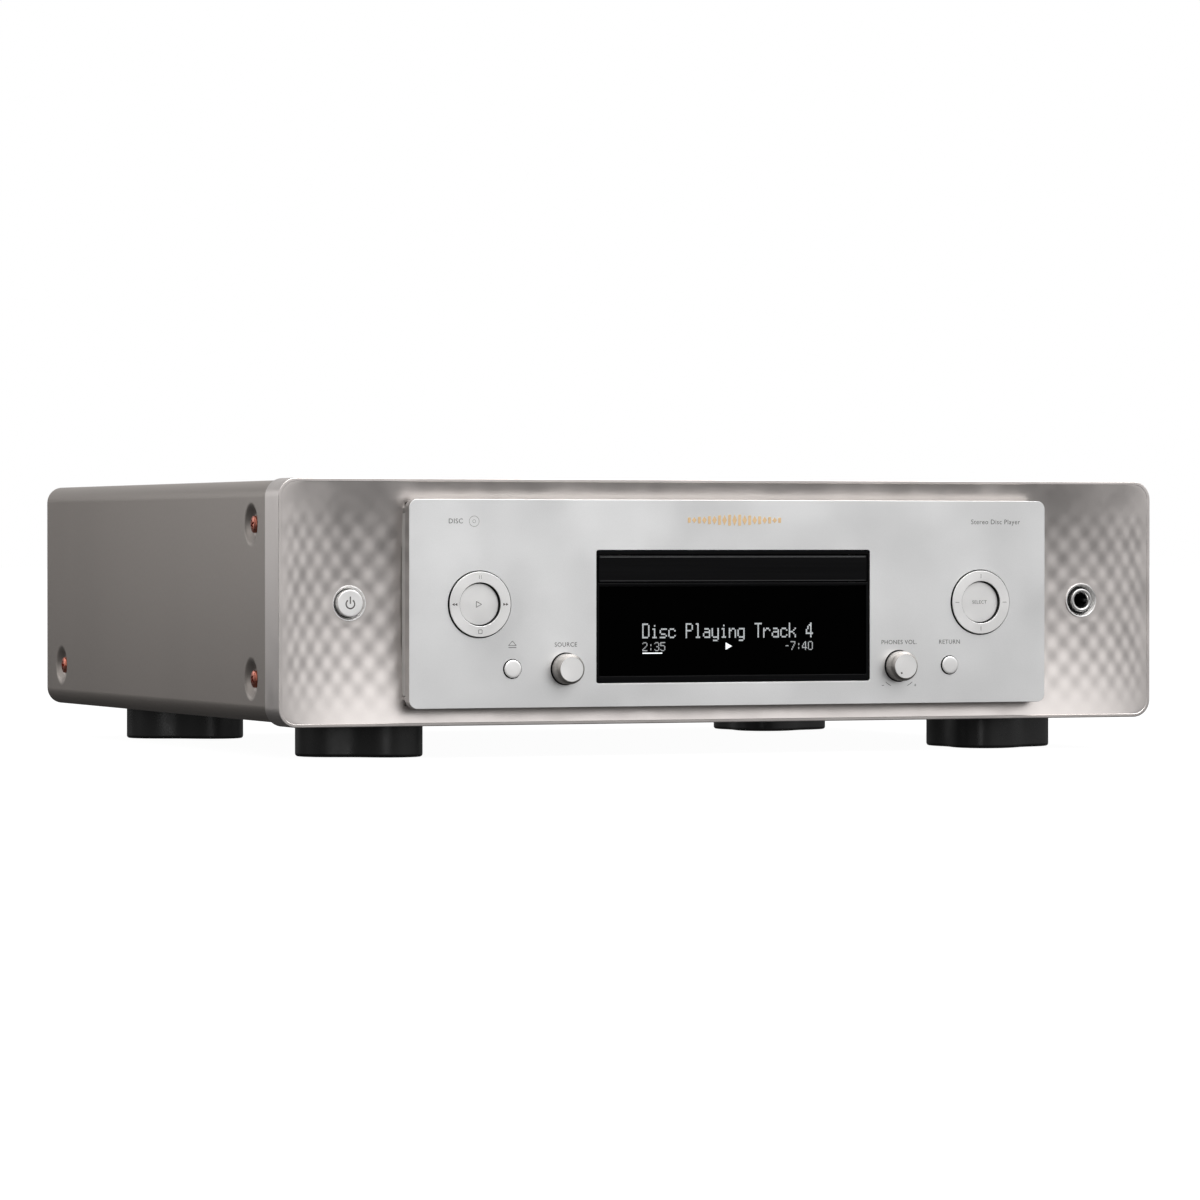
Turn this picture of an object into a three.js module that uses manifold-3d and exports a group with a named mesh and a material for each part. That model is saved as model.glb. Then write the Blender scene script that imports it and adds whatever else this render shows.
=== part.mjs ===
// A full-width hi-fi compact disc player with a dished front panel, a raised centre plate,
// a motorised disc tray and a wrap-round steel cover. Millimetres, +Z up, the front faces -Y.
// All parts are drawn with Y = 0 on the rim of the front panel and Z = 0 under the feet, and
// the whole group is then moved along Y so that the origin is at the middle of the base.

import * as THREE from "three";
import { mergeVertices } from "three/addons/utils/BufferGeometryUtils.js";
import Module from "manifold-3d";

const wasm = await Module();
wasm.setup();

// ---------------------------------------------------------------- driving dimensions
const GAP = 0.3;                 // space kept between pieces that touch
const WIDTH = 442;
const PANEL = { bottom: 15.2, top: 128.2, depth: 19.4, radius: 8.5, wall: 3, rim: 1, dish: 4.1, slope: 3.5 };
const PLATE = { halfWidth: 160.9, bottom: 23.3, top: 118.6, radius: 4, proud: 7.1, face: 6, wall: 4.9 };
const CASE = { inset: 1, bottom: 16.7, top: 127.3, radius: 8, sheet: 1.2, rear: 371, lip: 206 };
const VENT = { x: 150, pitch: 8, count: 9, width: 3, front: 255, rear: 310 };
const FLOOR = { bottom: 18.3, halfWidth: 212.5, front: 20, rear: 367.9, frontTop: 40, flangeTop: 116 };
const WINDOW = { halfWidth: 69.3, bottom: 34, top: 95.5 };
const DOOR = { halfWidth: 68.1, bottom: 80.55, top: 93, depth: 3 };
const TRAY = { halfWidth: 64, bottom: 83, top: 89, rear: 190, slot: 18.5, rearGap: 48 };
const DISC = { y: 80, radius: 60.5, floor: 86.5, smallRadius: 40.5, smallFloor: 85.3 };
const GLASS = { halfWidth: 67.3, bottom: 37.5, top: 78.6, back: -3.9 };
const DISPLAY = { halfWidth: 58, bottom: 42.5, top: 73.5, front: -3, back: 3, carrierBack: 10.5 };
const RING = { x: 126.8, z: 70.7, outer: 14.9, inner: 10, hole: 15.35, raised: 1, sunk: 1.7 };
const SMALL_BUTTON = { x: 110.75, z: 41.1, radius: 4.1, hole: 4.4 };
const KNOB = { x: 84.45, z: 40.9, base: 7, face: 5.7, tall: 7.6, shaft: 3, shaftEnd: 10.4, bodyFront: 7.6 };
const SIDE_CONTROL = { x: 186, z: 71.3, cone: 7.95, bore: 6.5 };
const FOOT = { x: 161, front: 56, rear: 318, mean: 27.3, lobe: 4.9, top: 18 };
const SIDE_SCREWS = [[42.3, 107.3], [42.3, 36.4], [345.7, 36.7]];
const SCREW = { head: 4, shank: 1.7, sunk: 0.6, headDepth: 1.9, dish: 9.1, dishDepth: 2.8, end: 209.5 };
const BOARD = { front: 12.3, back: 13.9, left: -198, right: 176, bottom: 24, top: 112 };
const BOARD_NOTCH = { halfWidth: 75, bottom: 76 };      // clears the tray and its door
const LOADER = { plateBottom: 78.4, plateTop: 80.4, wallTop: 95, front: 14.6, rear: 205 };
const PINION = { x: -51.5, y: 29, teeth: 12, module: 1.5, bottom: 80.75, top: 82.65 };
const MOTOR_PULLEY = { x: -14, y: 28, groove: 3 };
const GEAR_PULLEY = { groove: 12, flange: 13.6, bottom: 73.8, top: 77.8 };
const TRAVERSE = { hingeY: 192, hingeZ: 70, lowered: 4, halfWidth: 34, front: 55, rear: 196, sheet: 2 };
const TURNTABLE = { radius: 15, bottom: 86.3, top: 88.3, noseTop: 90.6 };
const SLED = { rodX: 24, screwX: -12, rodZ: 76, rodRadius: 1.5, lensY: 103 };
const PUCK = { bottom: 91.6, plate: 15, neck: 12.6, cap: 16.5 };
const TRANSFORMER = { x: -145, y: 100, inner: 12, outer: 46, bottom: 21, top: 62 };
const REAR_FACE = { back: 370, front: 368.5, halfWidth: 217.5, bottom: 20, top: 125.8 };
const REACH = { front: -PLATE.proud - KNOB.tall, rear: 383 };   // the frontmost and rearmost points

// ---------------------------------------------------------------- materials
const finish = (color, roughness, metalness) =>
  new THREE.MeshStandardMaterial({ color, roughness, metalness });
const SILVER_PANEL = finish(0xb9b4af, 0.4, 0.7);
const SILVER_PLATE = finish(0xdcdddd, 0.45, 0.8);
const SILVER_CONTROL = finish(0xd2d1cf, 0.35, 0.8);
const COVER_PAINT = finish(0x807a76, 0.5, 0.5);
const BARE_STEEL = finish(0xb4b6b8, 0.35, 0.9);
const BRIGHT_STEEL = finish(0xd8d8d8, 0.15, 1);
const COPPER = finish(0xb06a58, 0.35, 0.9);
const BLACK_GLOSS = finish(0x08080a, 0.15, 0);
const BLACK_PLASTIC = finish(0x151515, 0.55, 0);
const GREY_PLASTIC = finish(0x4a4b4d, 0.6, 0);
const RUBBER = finish(0x1a1a1a, 0.85, 0);
const CLEAR = finish(0xe8eef2, 0.1, 0);
const BOARD_GREEN = finish(0x1f5a36, 0.6, 0);
const WINDING = finish(0x8a4b22, 0.45, 0.4);
const BRASS = finish(0xc8a24a, 0.3, 0.9);

// ---------------------------------------------------------------- solids
// Turns any closed three.js geometry into a solid whose faces point out.
function solid(geometry) {
  const bare = geometry.clone();
  bare.deleteAttribute("normal");
  bare.deleteAttribute("uv");
  const merged = mergeVertices(bare, 1e-4);
  const place = merged.attributes.position;
  const corners = merged.index.array;
  const triangles = [];
  const [a, b, c] = [new THREE.Vector3(), new THREE.Vector3(), new THREE.Vector3()];
  let volume = 0;
  for (let i = 0; i < corners.length; i += 3) {
    const [p, q, r] = [corners[i], corners[i + 1], corners[i + 2]];
    if (p === q || q === r || r === p) continue;
    triangles.push([p, q, r]);
    volume += a.fromBufferAttribute(place, p).dot(
      b.fromBufferAttribute(place, q).cross(c.fromBufferAttribute(place, r)));
  }
  const outward = volume > 0 ? triangles : triangles.map(([p, q, r]) => [p, r, q]);
  return new wasm.Manifold(new wasm.Mesh({
    numProp: 3,
    vertProperties: new Float32Array(place.array),
    triVerts: new Uint32Array(outward.flat()),
  }));
}

const join = (parts) => parts.reduce((whole, part) => whole.add(part));
const cut = (body, parts) => parts.reduce((whole, part) => whole.subtract(part), body);

function box(x0, x1, y0, y1, z0, z1) {
  const shape = new THREE.BoxGeometry(x1 - x0, y1 - y0, z1 - z0);
  return solid(shape.translate((x0 + x1) / 2, (y0 + y1) / 2, (z0 + z1) / 2));
}

// A box between two distances from the middle, on the left (side -1) or the right (side 1).
const across = (side, near, far, y0, y1, z0, z1) =>
  box(Math.min(side * near, side * far), Math.max(side * near, side * far), y0, y1, z0, z1);

// A body of revolution about an axis through (u, v): X takes (y, z), Y takes (x, z), Z takes (x, y).
// The profile is a list of [radius, distance along the axis] from one end of the axis to the other.
function turned(axis, u, v, profile, sides = 16) {
  const shape = new THREE.LatheGeometry(profile.map(([r, t]) => new THREE.Vector2(r, t)), sides);
  if (axis === "X") return solid(shape.rotateZ(-Math.PI / 2).translate(0, u, v));
  if (axis === "Z") return solid(shape.rotateX(Math.PI / 2).translate(u, v, 0));
  return solid(shape.translate(u, 0, v));
}

const rod = (axis, u, v, radius, from, to, sides = 16) =>
  turned(axis, u, v, [[0, from], [radius, from], [radius, to], [0, to]], sides);

function roundedRect(x0, x1, z0, z1, radius) {
  const shape = new THREE.Shape();
  const quarter = Math.PI / 2;
  shape.absarc(x1 - radius, z0 + radius, radius, -quarter, 0);
  shape.absarc(x1 - radius, z1 - radius, radius, 0, quarter);
  shape.absarc(x0 + radius, z1 - radius, radius, quarter, 2 * quarter);
  shape.absarc(x0 + radius, z0 + radius, radius, 2 * quarter, 3 * quarter);
  return shape;
}

// Extrudes a front-view outline (x, z) from y0 back to y1.
function frontal(shape, y0, y1, steps = 3) {
  const options = { depth: y1 - y0, bevelEnabled: false, curveSegments: steps };
  const body = new THREE.ExtrudeGeometry(shape, options);
  return solid(body.rotateX(Math.PI / 2).translate(0, y1, 0));
}

// Extrudes a plan outline (x, y) from z0 up to z1.
function planar(shape, z0, z1, steps = 4) {
  const options = { depth: z1 - z0, bevelEnabled: false, curveSegments: steps };
  const body = new THREE.ExtrudeGeometry(shape, options);
  return solid(body.translate(0, 0, z0));
}

const roundedBlock = (x0, x1, y0, y1, z0, z1, radius, steps) =>
  frontal(roundedRect(x0, x1, z0, z1, radius), y0, y1, steps);

// ---------------------------------------------------------------- scene graph
const group = new THREE.Group();
group.position.y = -(REACH.front + REACH.rear) / 2;

function piece(name, body, material, parent = group) {
  const { vertProperties, triVerts } = body.getMesh();
  const geometry = new THREE.BufferGeometry();
  geometry.setAttribute("position", new THREE.BufferAttribute(new Float32Array(vertProperties), 3));
  geometry.setIndex(new THREE.BufferAttribute(new Uint32Array(triVerts), 1));
  geometry.computeVertexNormals();
  const mesh = new THREE.Mesh(geometry, material);
  mesh.name = name;
  parent.add(mesh);
}

// ---------------------------------------------------------------- front
// The panel is a thick moulding, hollow behind, whose face is dished behind a narrow rim.
function frontPanel() {
  const half = WIDTH / 2;
  const { bottom, top, depth, radius, wall, rim, dish, slope } = PANEL;
  const blank = roundedBlock(-half, half, 0, depth, bottom, top, radius);
  const floor = rim + slope;
  const dishOutline = roundedRect(-half + floor, half - floor, bottom + floor, top - floor, radius - floor);
  const straight = 0.5;
  const dishShape = new THREE.ExtrudeGeometry(dishOutline, {
    depth: 2, bevelThickness: dish - straight, bevelSize: slope, bevelSegments: 1, curveSegments: 3,
  });
  const dishCut = solid(dishShape.rotateX(Math.PI / 2).translate(0, straight, 0));
  const inside = roundedBlock(-half + wall, half - wall, dish + wall, depth + 1,
    bottom + wall, top - wall, radius - wall);
  const through = 10;
  const windowHalf = WINDOW.halfWidth + 1;
  const windowCut = box(-windowHalf, windowHalf, 0, through, WINDOW.bottom - 1, WINDOW.top + 1);
  const cuts = [dishCut, inside, windowCut];
  const { cone, bore } = SIDE_CONTROL;
  const bezel = [[0, dish - 1.1], [cone + 1.1, dish - 1.1], [cone, dish], [bore, dish + 1.5],
    [bore, through], [0, through]];
  for (const side of [-1, 1]) {
    for (const [{ x, z }, radius, sides] of [[RING, 9, 12], [SMALL_BUTTON, 3, 8], [KNOB, 4, 8]]) {
      cuts.push(rod("Y", side * x, z, radius, 0, through, sides));
    }
    cuts.push(turned("Y", side * SIDE_CONTROL.x, SIDE_CONTROL.z, bezel));
  }
  piece("front_panel", cut(blank, cuts), SILVER_PANEL);
}

// The plate is a machined slab, hollow behind its face, with a slot in each end for a light guide.
const GUIDE = { bottom: 28.7, top: 112.8, front: -1.8, deep: 2.4 };

function frontPlate() {
  const { halfWidth, bottom, top, radius, proud, face, wall } = PLATE;
  const back = PANEL.dish - GAP;
  const blank = roundedBlock(-halfWidth, halfWidth, -proud, back, bottom, top, radius);
  const [ahead, behind] = [-proud - 1, back + 1];
  const cuts = [box(-WINDOW.halfWidth, WINDOW.halfWidth, ahead, behind, WINDOW.bottom, WINDOW.top)];
  const [seat, seatFloor, shaftHole] = [KNOB.base + 0.5, -proud + 1.2, KNOB.shaft + 0.5];
  const knobHole = [[0, ahead], [seat, ahead], [seat, seatFloor], [shaftHole, seatFloor],
    [shaftHole, behind], [0, behind]];
  for (const side of [-1, 1]) {
    cuts.push(across(side, WINDOW.halfWidth + wall, halfWidth - wall, -proud + face, behind,
      bottom + wall, top - wall));
    cuts.push(rod("Y", side * RING.x, RING.z, RING.hole, ahead, behind, 32));
    cuts.push(rod("Y", side * SMALL_BUTTON.x, SMALL_BUTTON.z, SMALL_BUTTON.hole, ahead, behind));
    cuts.push(turned("Y", side * KNOB.x, KNOB.z, knobHole));
    cuts.push(across(side, halfWidth - GUIDE.deep, halfWidth + 1, GUIDE.front, behind,
      GUIDE.bottom, GUIDE.top));
  }
  piece("front_plate", cut(blank, cuts), SILVER_PLATE);
}

function lightGuides() {
  for (const [side, name] of [[-1, "left"], [1, "right"]]) {
    const bar = across(side, PLATE.halfWidth - GUIDE.deep + GAP, PLATE.halfWidth - GAP,
      GUIDE.front + GAP, PANEL.dish - GAP, GUIDE.bottom + GAP, GUIDE.top - GAP);
    piece(`light_guide_${name}`, bar, CLEAR);
  }
}

// The black surround holds the display glass and leaves a slot above it for the tray.
function displayWindow() {
  const front = -PLATE.proud + 0.5;
  const back = PANEL.dish + PANEL.wall;
  const half = WINDOW.halfWidth - GAP;
  const blank = box(-half, half, front, back, WINDOW.bottom + GAP, WINDOW.top - GAP);
  const slotHalf = DOOR.halfWidth + GAP;
  const slot = box(-slotHalf, slotHalf, front - 1, back + 1, DOOR.bottom - GAP, DOOR.top + GAP);
  const seatHalf = GLASS.halfWidth + GAP;
  const seat = box(-seatHalf, seatHalf, front - 1, GLASS.back + GAP, GLASS.bottom - GAP, GLASS.top + GAP);
  const { halfWidth, bottom, top, front: cellFront, back: cellBack, carrierBack } = DISPLAY;
  const view = box(-halfWidth - 2, halfWidth + 2, front - 1, back + 1, bottom - 1.5, top + 1.5);
  piece("window_frame", cut(blank, [slot, seat, view]), BLACK_GLOSS);
  const glass = box(-GLASS.halfWidth, GLASS.halfWidth, front + 0.6, GLASS.back, GLASS.bottom, GLASS.top);
  piece("display_glass", glass, BLACK_GLOSS);
  const cell = box(-halfWidth, halfWidth, cellFront, cellBack, bottom, top);
  const carrier = box(-halfWidth + 2, halfWidth - 2, cellBack, carrierBack, bottom + 1.5, top - 1.5);
  piece("display_module", cell.add(carrier), BLACK_PLASTIC);
}

// One board behind the panel carries the switches and the bodies of both rotary controls.
function controlBoard() {
  const { front, back, left, right, bottom, top } = BOARD;
  const { halfWidth: notch, bottom: notchBottom } = BOARD_NOTCH;
  const outline = [[left, bottom], [right, bottom], [right, top], [notch, top], [notch, notchBottom],
    [-notch, notchBottom], [-notch, top], [left, top]];
  const shape = new THREE.Shape(outline.map(([x, z]) => new THREE.Vector2(x, z)));
  const switches = [[-RING.x, RING.z], [RING.x, RING.z], [-SIDE_CONTROL.x, SIDE_CONTROL.z],
    [-SMALL_BUTTON.x, SMALL_BUTTON.z], [SMALL_BUTTON.x, SMALL_BUTTON.z]];
  const half = 2.5;
  const bodies = switches.map(([x, z]) =>
    box(x - half, x + half, front - 1.1, front + 0.1, z - half, z + half));
  piece("control_board", join([frontal(shape, front, back), ...bodies]), BOARD_GREEN);
  for (const [side, name] of [[-1, "source_encoder"], [1, "level_control"]]) {
    const x = side * KNOB.x;
    const body = box(x - 6, x + 6, KNOB.bodyFront, front - GAP, KNOB.z - 6.5, KNOB.z + 6.5);
    const bore = rod("Y", x, KNOB.z, KNOB.shaft + 2 * GAP, KNOB.bodyFront - 0.6, KNOB.shaftEnd + 0.6, 12);
    piece(name, body.subtract(bore), BARE_STEEL);
  }
}

// ---------------------------------------------------------------- front controls
// A ring that rocks on a spring frame, with a push button in its middle.
function ringControl(side, ringName, frameName, buttonName) {
  const x = side * RING.x;
  const front = -PLATE.proud - RING.raised;
  const edge = 0.5;
  const back = -2;
  const { inner, outer, z } = RING;
  const ring = [[inner, back], [outer, back], [outer, front + edge], [outer - edge, front],
    [inner + edge, front], [inner, front + edge], [inner, back]];
  piece(ringName, turned("Y", x, z, ring, 32), SILVER_CONTROL);
  const [frameFront, frameBack, frameHole] = [-1.2, 0.2, 7];
  const frame = cut(rod("Y", x, z, outer - 0.6, frameFront, frameBack, 20),
    [rod("Y", x, z, frameHole, frameFront - 1, frameBack + 1)]);
  piece(frameName, frame, BARE_STEEL);
  const cap = inner - 0.4;
  const face = front + RING.sunk;
  const skirt = face + 3;
  const [stem, stemEnd, tip, tipEnd] = [4, 8, 1.5, 9.9];
  const button = [[0, face], [cap - 0.4, face], [cap, face + 0.4], [cap, skirt], [stem, skirt],
    [stem, stemEnd], [tip, stemEnd], [tip, tipEnd], [0, tipEnd]];
  piece(buttonName, turned("Y", x, z, button, 20), SILVER_CONTROL);
}

function smallButton(side, name) {
  const front = -PLATE.proud - 1;
  const { x, z, radius } = SMALL_BUTTON;
  const [capBack, stem, end] = [0.5, 2, 9.7];
  const cap = [[0, front], [radius - 0.4, front], [radius, front + 0.4], [radius, capBack], [stem, capBack],
    [stem, end], [0, end]];
  piece(name, turned("Y", side * x, z, cap), SILVER_CONTROL);
}

function knob(side, name) {
  const front = REACH.front;
  const { x, z, base, face, shaft, shaftEnd } = KNOB;
  const seat = -PLATE.proud + 0.9;
  const body = [[0, front], [face, front], [base - 0.25, front + 1.3], [base, front + 2.6], [base, seat],
    [shaft, seat], [shaft, shaftEnd], [0, shaftEnd]];
  piece(name, turned("Y", side * x, z, body, 20), SILVER_CONTROL);
}

function powerButton() {
  const [front, radius, capBack, stem, end] = [2, 6.15, 7.6, 2, 9.4];
  const cap = [[0, front], [radius - 0.55, front], [radius, front + 0.5], [radius, capBack], [stem, capBack],
    [stem, end], [0, end]];
  piece("power_button", turned("Y", -SIDE_CONTROL.x, SIDE_CONTROL.z, cap), SILVER_CONTROL);
}

function headphoneJack() {
  const { x, z } = SIDE_CONTROL;
  const [barrelRadius, barrelFront, boreRadius, boreEnd] = [5.5, 3.2, 3.3, 17.5];
  const body = { half: 7.5, front: 7.5, back: 19 };
  const barrel = rod("Y", x, z, barrelRadius, barrelFront, body.front + 0.5);
  const block = box(x - body.half, x + body.half, body.front, body.back, z - body.half, z + body.half);
  const bore = rod("Y", x, z, boreRadius, barrelFront - 1, boreEnd);
  piece("headphone_jack", barrel.add(block).subtract(bore), BRIGHT_STEEL);
}

// ---------------------------------------------------------------- disc tray and loader
// The tray runs on the loader's ledges. Its slot is open behind the disc, so the raised
// turntable never meets it. A rack under its left edge meets the tray gear.
function discTray() {
  const { halfWidth, bottom, top, rear, slot, rearGap } = TRAY;
  const doorFront = -PLATE.proud + 0.5;
  const front = doorFront + DOOR.depth + GAP;
  const { y, radius, floor, smallRadius, smallFloor } = DISC;
  const blank = box(-halfWidth, halfWidth, front, rear, bottom, top);
  const cuts = [
    rod("Z", 0, y, radius, floor, top + 1, 36),
    rod("Z", 0, y, smallRadius, smallFloor, top + 1, 28),
    rod("Z", 0, y, slot, bottom - 1, top + 1),
    box(-slot, slot, y, rear + 1, bottom - 1, top + 1),
    box(-rearGap, rearGap, y + radius + 5.5, rear + 1, bottom - 1, top + 1),
  ];
  piece("disc_tray", join([cut(blank, cuts), trayRack()]), GREY_PLASTIC);
  const door = roundedBlock(-DOOR.halfWidth, DOOR.halfWidth, doorFront, front - GAP, DOOR.bottom, DOOR.top,
    0.6, 2);
  piece("tray_door", door, BLACK_GLOSS);
}

// Straight rack teeth whose spaces are centred on the gear's teeth when the tray is shut.
function trayRack() {
  const pitch = Math.PI * PINION.module;
  const pitchLine = PINION.x - PINION.teeth * PINION.module / 2;
  const [root, tip] = [pitchLine - 1.6, pitchLine + 1];
  const back = -TRAY.halfWidth;
  const shape = new THREE.Shape();
  const first = PINION.y - 1.3 * pitch;
  const count = 35;
  shape.moveTo(back, first);
  for (let tooth = 0; tooth < count; tooth += 1) {
    const y = first + tooth * pitch;
    shape.lineTo(root, y);
    shape.lineTo(root, y + 0.6 * pitch);
    shape.lineTo(tip, y + 0.73 * pitch);
    shape.lineTo(tip, y + 0.87 * pitch);
  }
  shape.lineTo(root, first + count * pitch);
  shape.lineTo(back, first + count * pitch);
  return planar(shape, PINION.bottom, TRAY.bottom + 0.2);
}

// A pinion and a belt pulley on one shaft. One tooth points straight at the rack.
function trayGear() {
  const { x, y, teeth, module, bottom, top } = PINION;
  const pitchRadius = teeth * module / 2;
  const step = 2 * Math.PI / teeth;
  const outline = [];
  for (let tooth = 0; tooth < teeth; tooth += 1) {
    const middle = Math.PI + tooth * step;
    for (const [radius, turn] of [[-1.9, -0.24], [1.1, -0.09], [1.1, 0.09], [-1.9, 0.24]]) {
      const [r, angle] = [pitchRadius + radius, middle + turn * step];
      outline.push(new THREE.Vector2(x + r * Math.cos(angle), y + r * Math.sin(angle)));
    }
  }
  const pinion = planar(new THREE.Shape(outline), bottom, top);
  const { groove, flange, bottom: low, top: high } = GEAR_PULLEY;
  const pulley = [[0, low], [flange, low], [flange, low + 1], [groove, low + 1.4], [groove, high - 1.4],
    [flange, high - 1], [flange, high], [0, high]];
  const shaft = rod("Z", x, y, 2.5, high - 0.5, bottom + 0.5, 10);
  piece("tray_gear", join([pinion, turned("Z", x, y, pulley, 20), shaft]), GREY_PLASTIC);
}

function loadingDrive() {
  const { x, y, groove } = MOTOR_PULLEY;
  const { bottom: low, top: high } = GEAR_PULLEY;
  const pulley = [[0, low], [groove + 1.6, low], [groove + 1.6, low + 1], [groove, low + 1.4],
    [groove, high - 1.4], [groove + 1.6, high - 1], [groove + 1.6, high], [0, high]];
  piece("motor_pulley", turned("Z", x, y, pulley, 12), BRASS);
  const [motorRadius, motorBottom] = [12, 47];
  piece("loading_motor", rod("Z", x, y, motorRadius, motorBottom, low - GAP, 20), BARE_STEEL);
  piece("drive_belt", beltLoop(), RUBBER);
}

// The belt's loop: two arcs joined by the outer tangents of the two pulley grooves.
function beltLoop() {
  const big = new THREE.Vector2(PINION.x, PINION.y);
  const small = new THREE.Vector2(MOTOR_PULLEY.x, MOTOR_PULLEY.y);
  const line = small.clone().sub(big);
  const heading = line.angle();
  const loop = (offset) => {
    const [bigR, smallR] = [GEAR_PULLEY.groove + offset, MOTOR_PULLEY.groove + offset];
    const open = Math.acos((bigR - smallR) / line.length());
    const shape = new THREE.Shape();
    shape.absarc(big.x, big.y, bigR, heading + open, heading - open + 2 * Math.PI);
    shape.absarc(small.x, small.y, smallR, heading - open, heading + open);
    return shape;
  };
  const middle = (GEAR_PULLEY.bottom + GEAR_PULLEY.top) / 2;
  const [low, high] = [middle - 0.6, middle + 0.6];
  return planar(loop(1.4), low, high, 12).subtract(planar(loop(GAP), low - 1, high + 1, 12));
}

// The loader's moulded frame: a deck with side walls, ledges for the tray and four legs.
function loaderFrame() {
  const { plateBottom, plateTop, wallTop, front, rear } = LOADER;
  const inner = TRAY.halfWidth + 0.5;
  const outer = TRAY.halfWidth + 4;
  const rail = { inner: 61.5, front: 45, bottom: TRAY.top + 0.5, top: TRAY.top + 2.5 };
  const ledge = { inner: 60.5, top: TRAY.bottom - 0.4 };
  const leg = { inner: 58, outer: 66, depth: 8, bottom: FLOOR.bottom + CASE.sheet + GAP };
  const lug = { inner: 36.5, outer: 39.5, reach: 7 };
  const overlap = 0.2;
  const { hingeY, hingeZ } = TRAVERSE;
  const parts = [box(-outer, outer, front, rear, plateBottom, plateTop)];
  for (const side of [-1, 1]) {
    parts.push(across(side, inner, outer, front, rear, plateTop - overlap, wallTop));
    parts.push(across(side, rail.inner, outer, rail.front, rear, rail.bottom, rail.top));
    if (side > 0) parts.push(across(side, ledge.inner, outer, front, rear, plateTop - overlap, ledge.top));
    for (const y of [front + 32, rear - 10]) {
      parts.push(across(side, leg.inner, leg.outer, y, y + leg.depth, leg.bottom, plateBottom + overlap));
    }
    parts.push(across(side, lug.inner, lug.outer, hingeY - lug.reach, hingeY + lug.reach,
      hingeZ - lug.reach, plateBottom + overlap));
  }
  const well = { halfWidth: 36.2, front: 46, rear: 199 };
  const cuts = [
    box(-well.halfWidth, well.halfWidth, well.front, well.rear, plateBottom - 1, plateTop + 1),
    rod("Z", PINION.x, PINION.y, 3, plateBottom - 1, plateTop + 1, 12),
    rod("X", hingeY, hingeZ, 3, -lug.outer - 5.5, lug.outer + 5.5, 12),
  ];
  piece("loader_frame", cut(join(parts), cuts), BLACK_PLASTIC);
}

function clamp() {
  const low = LOADER.wallTop + GAP;
  const high = low + 2;
  const { bottom, plate, neck, cap } = PUCK;
  const outline = roundedRect(-68, 68, DISC.y - 22, DISC.y + 22, 4);
  const hole = rod("Z", 0, DISC.y, neck + 0.7, low - 1, high + 1, 20);
  piece("clamp_bridge", planar(outline, low, high, 3).subtract(hole), BARE_STEEL);
  const rest = high + GAP;
  const puck = [[0, bottom], [plate - 0.8, bottom], [plate, bottom + 0.6], [plate, bottom + 2],
    [neck, bottom + 3], [neck, rest], [cap, rest], [cap, rest + 2], [9, rest + 2.8], [0, rest + 2.8]];
  piece("clamp_puck", turned("Z", 0, DISC.y, puck, 20), BLACK_PLASTIC);
}

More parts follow.
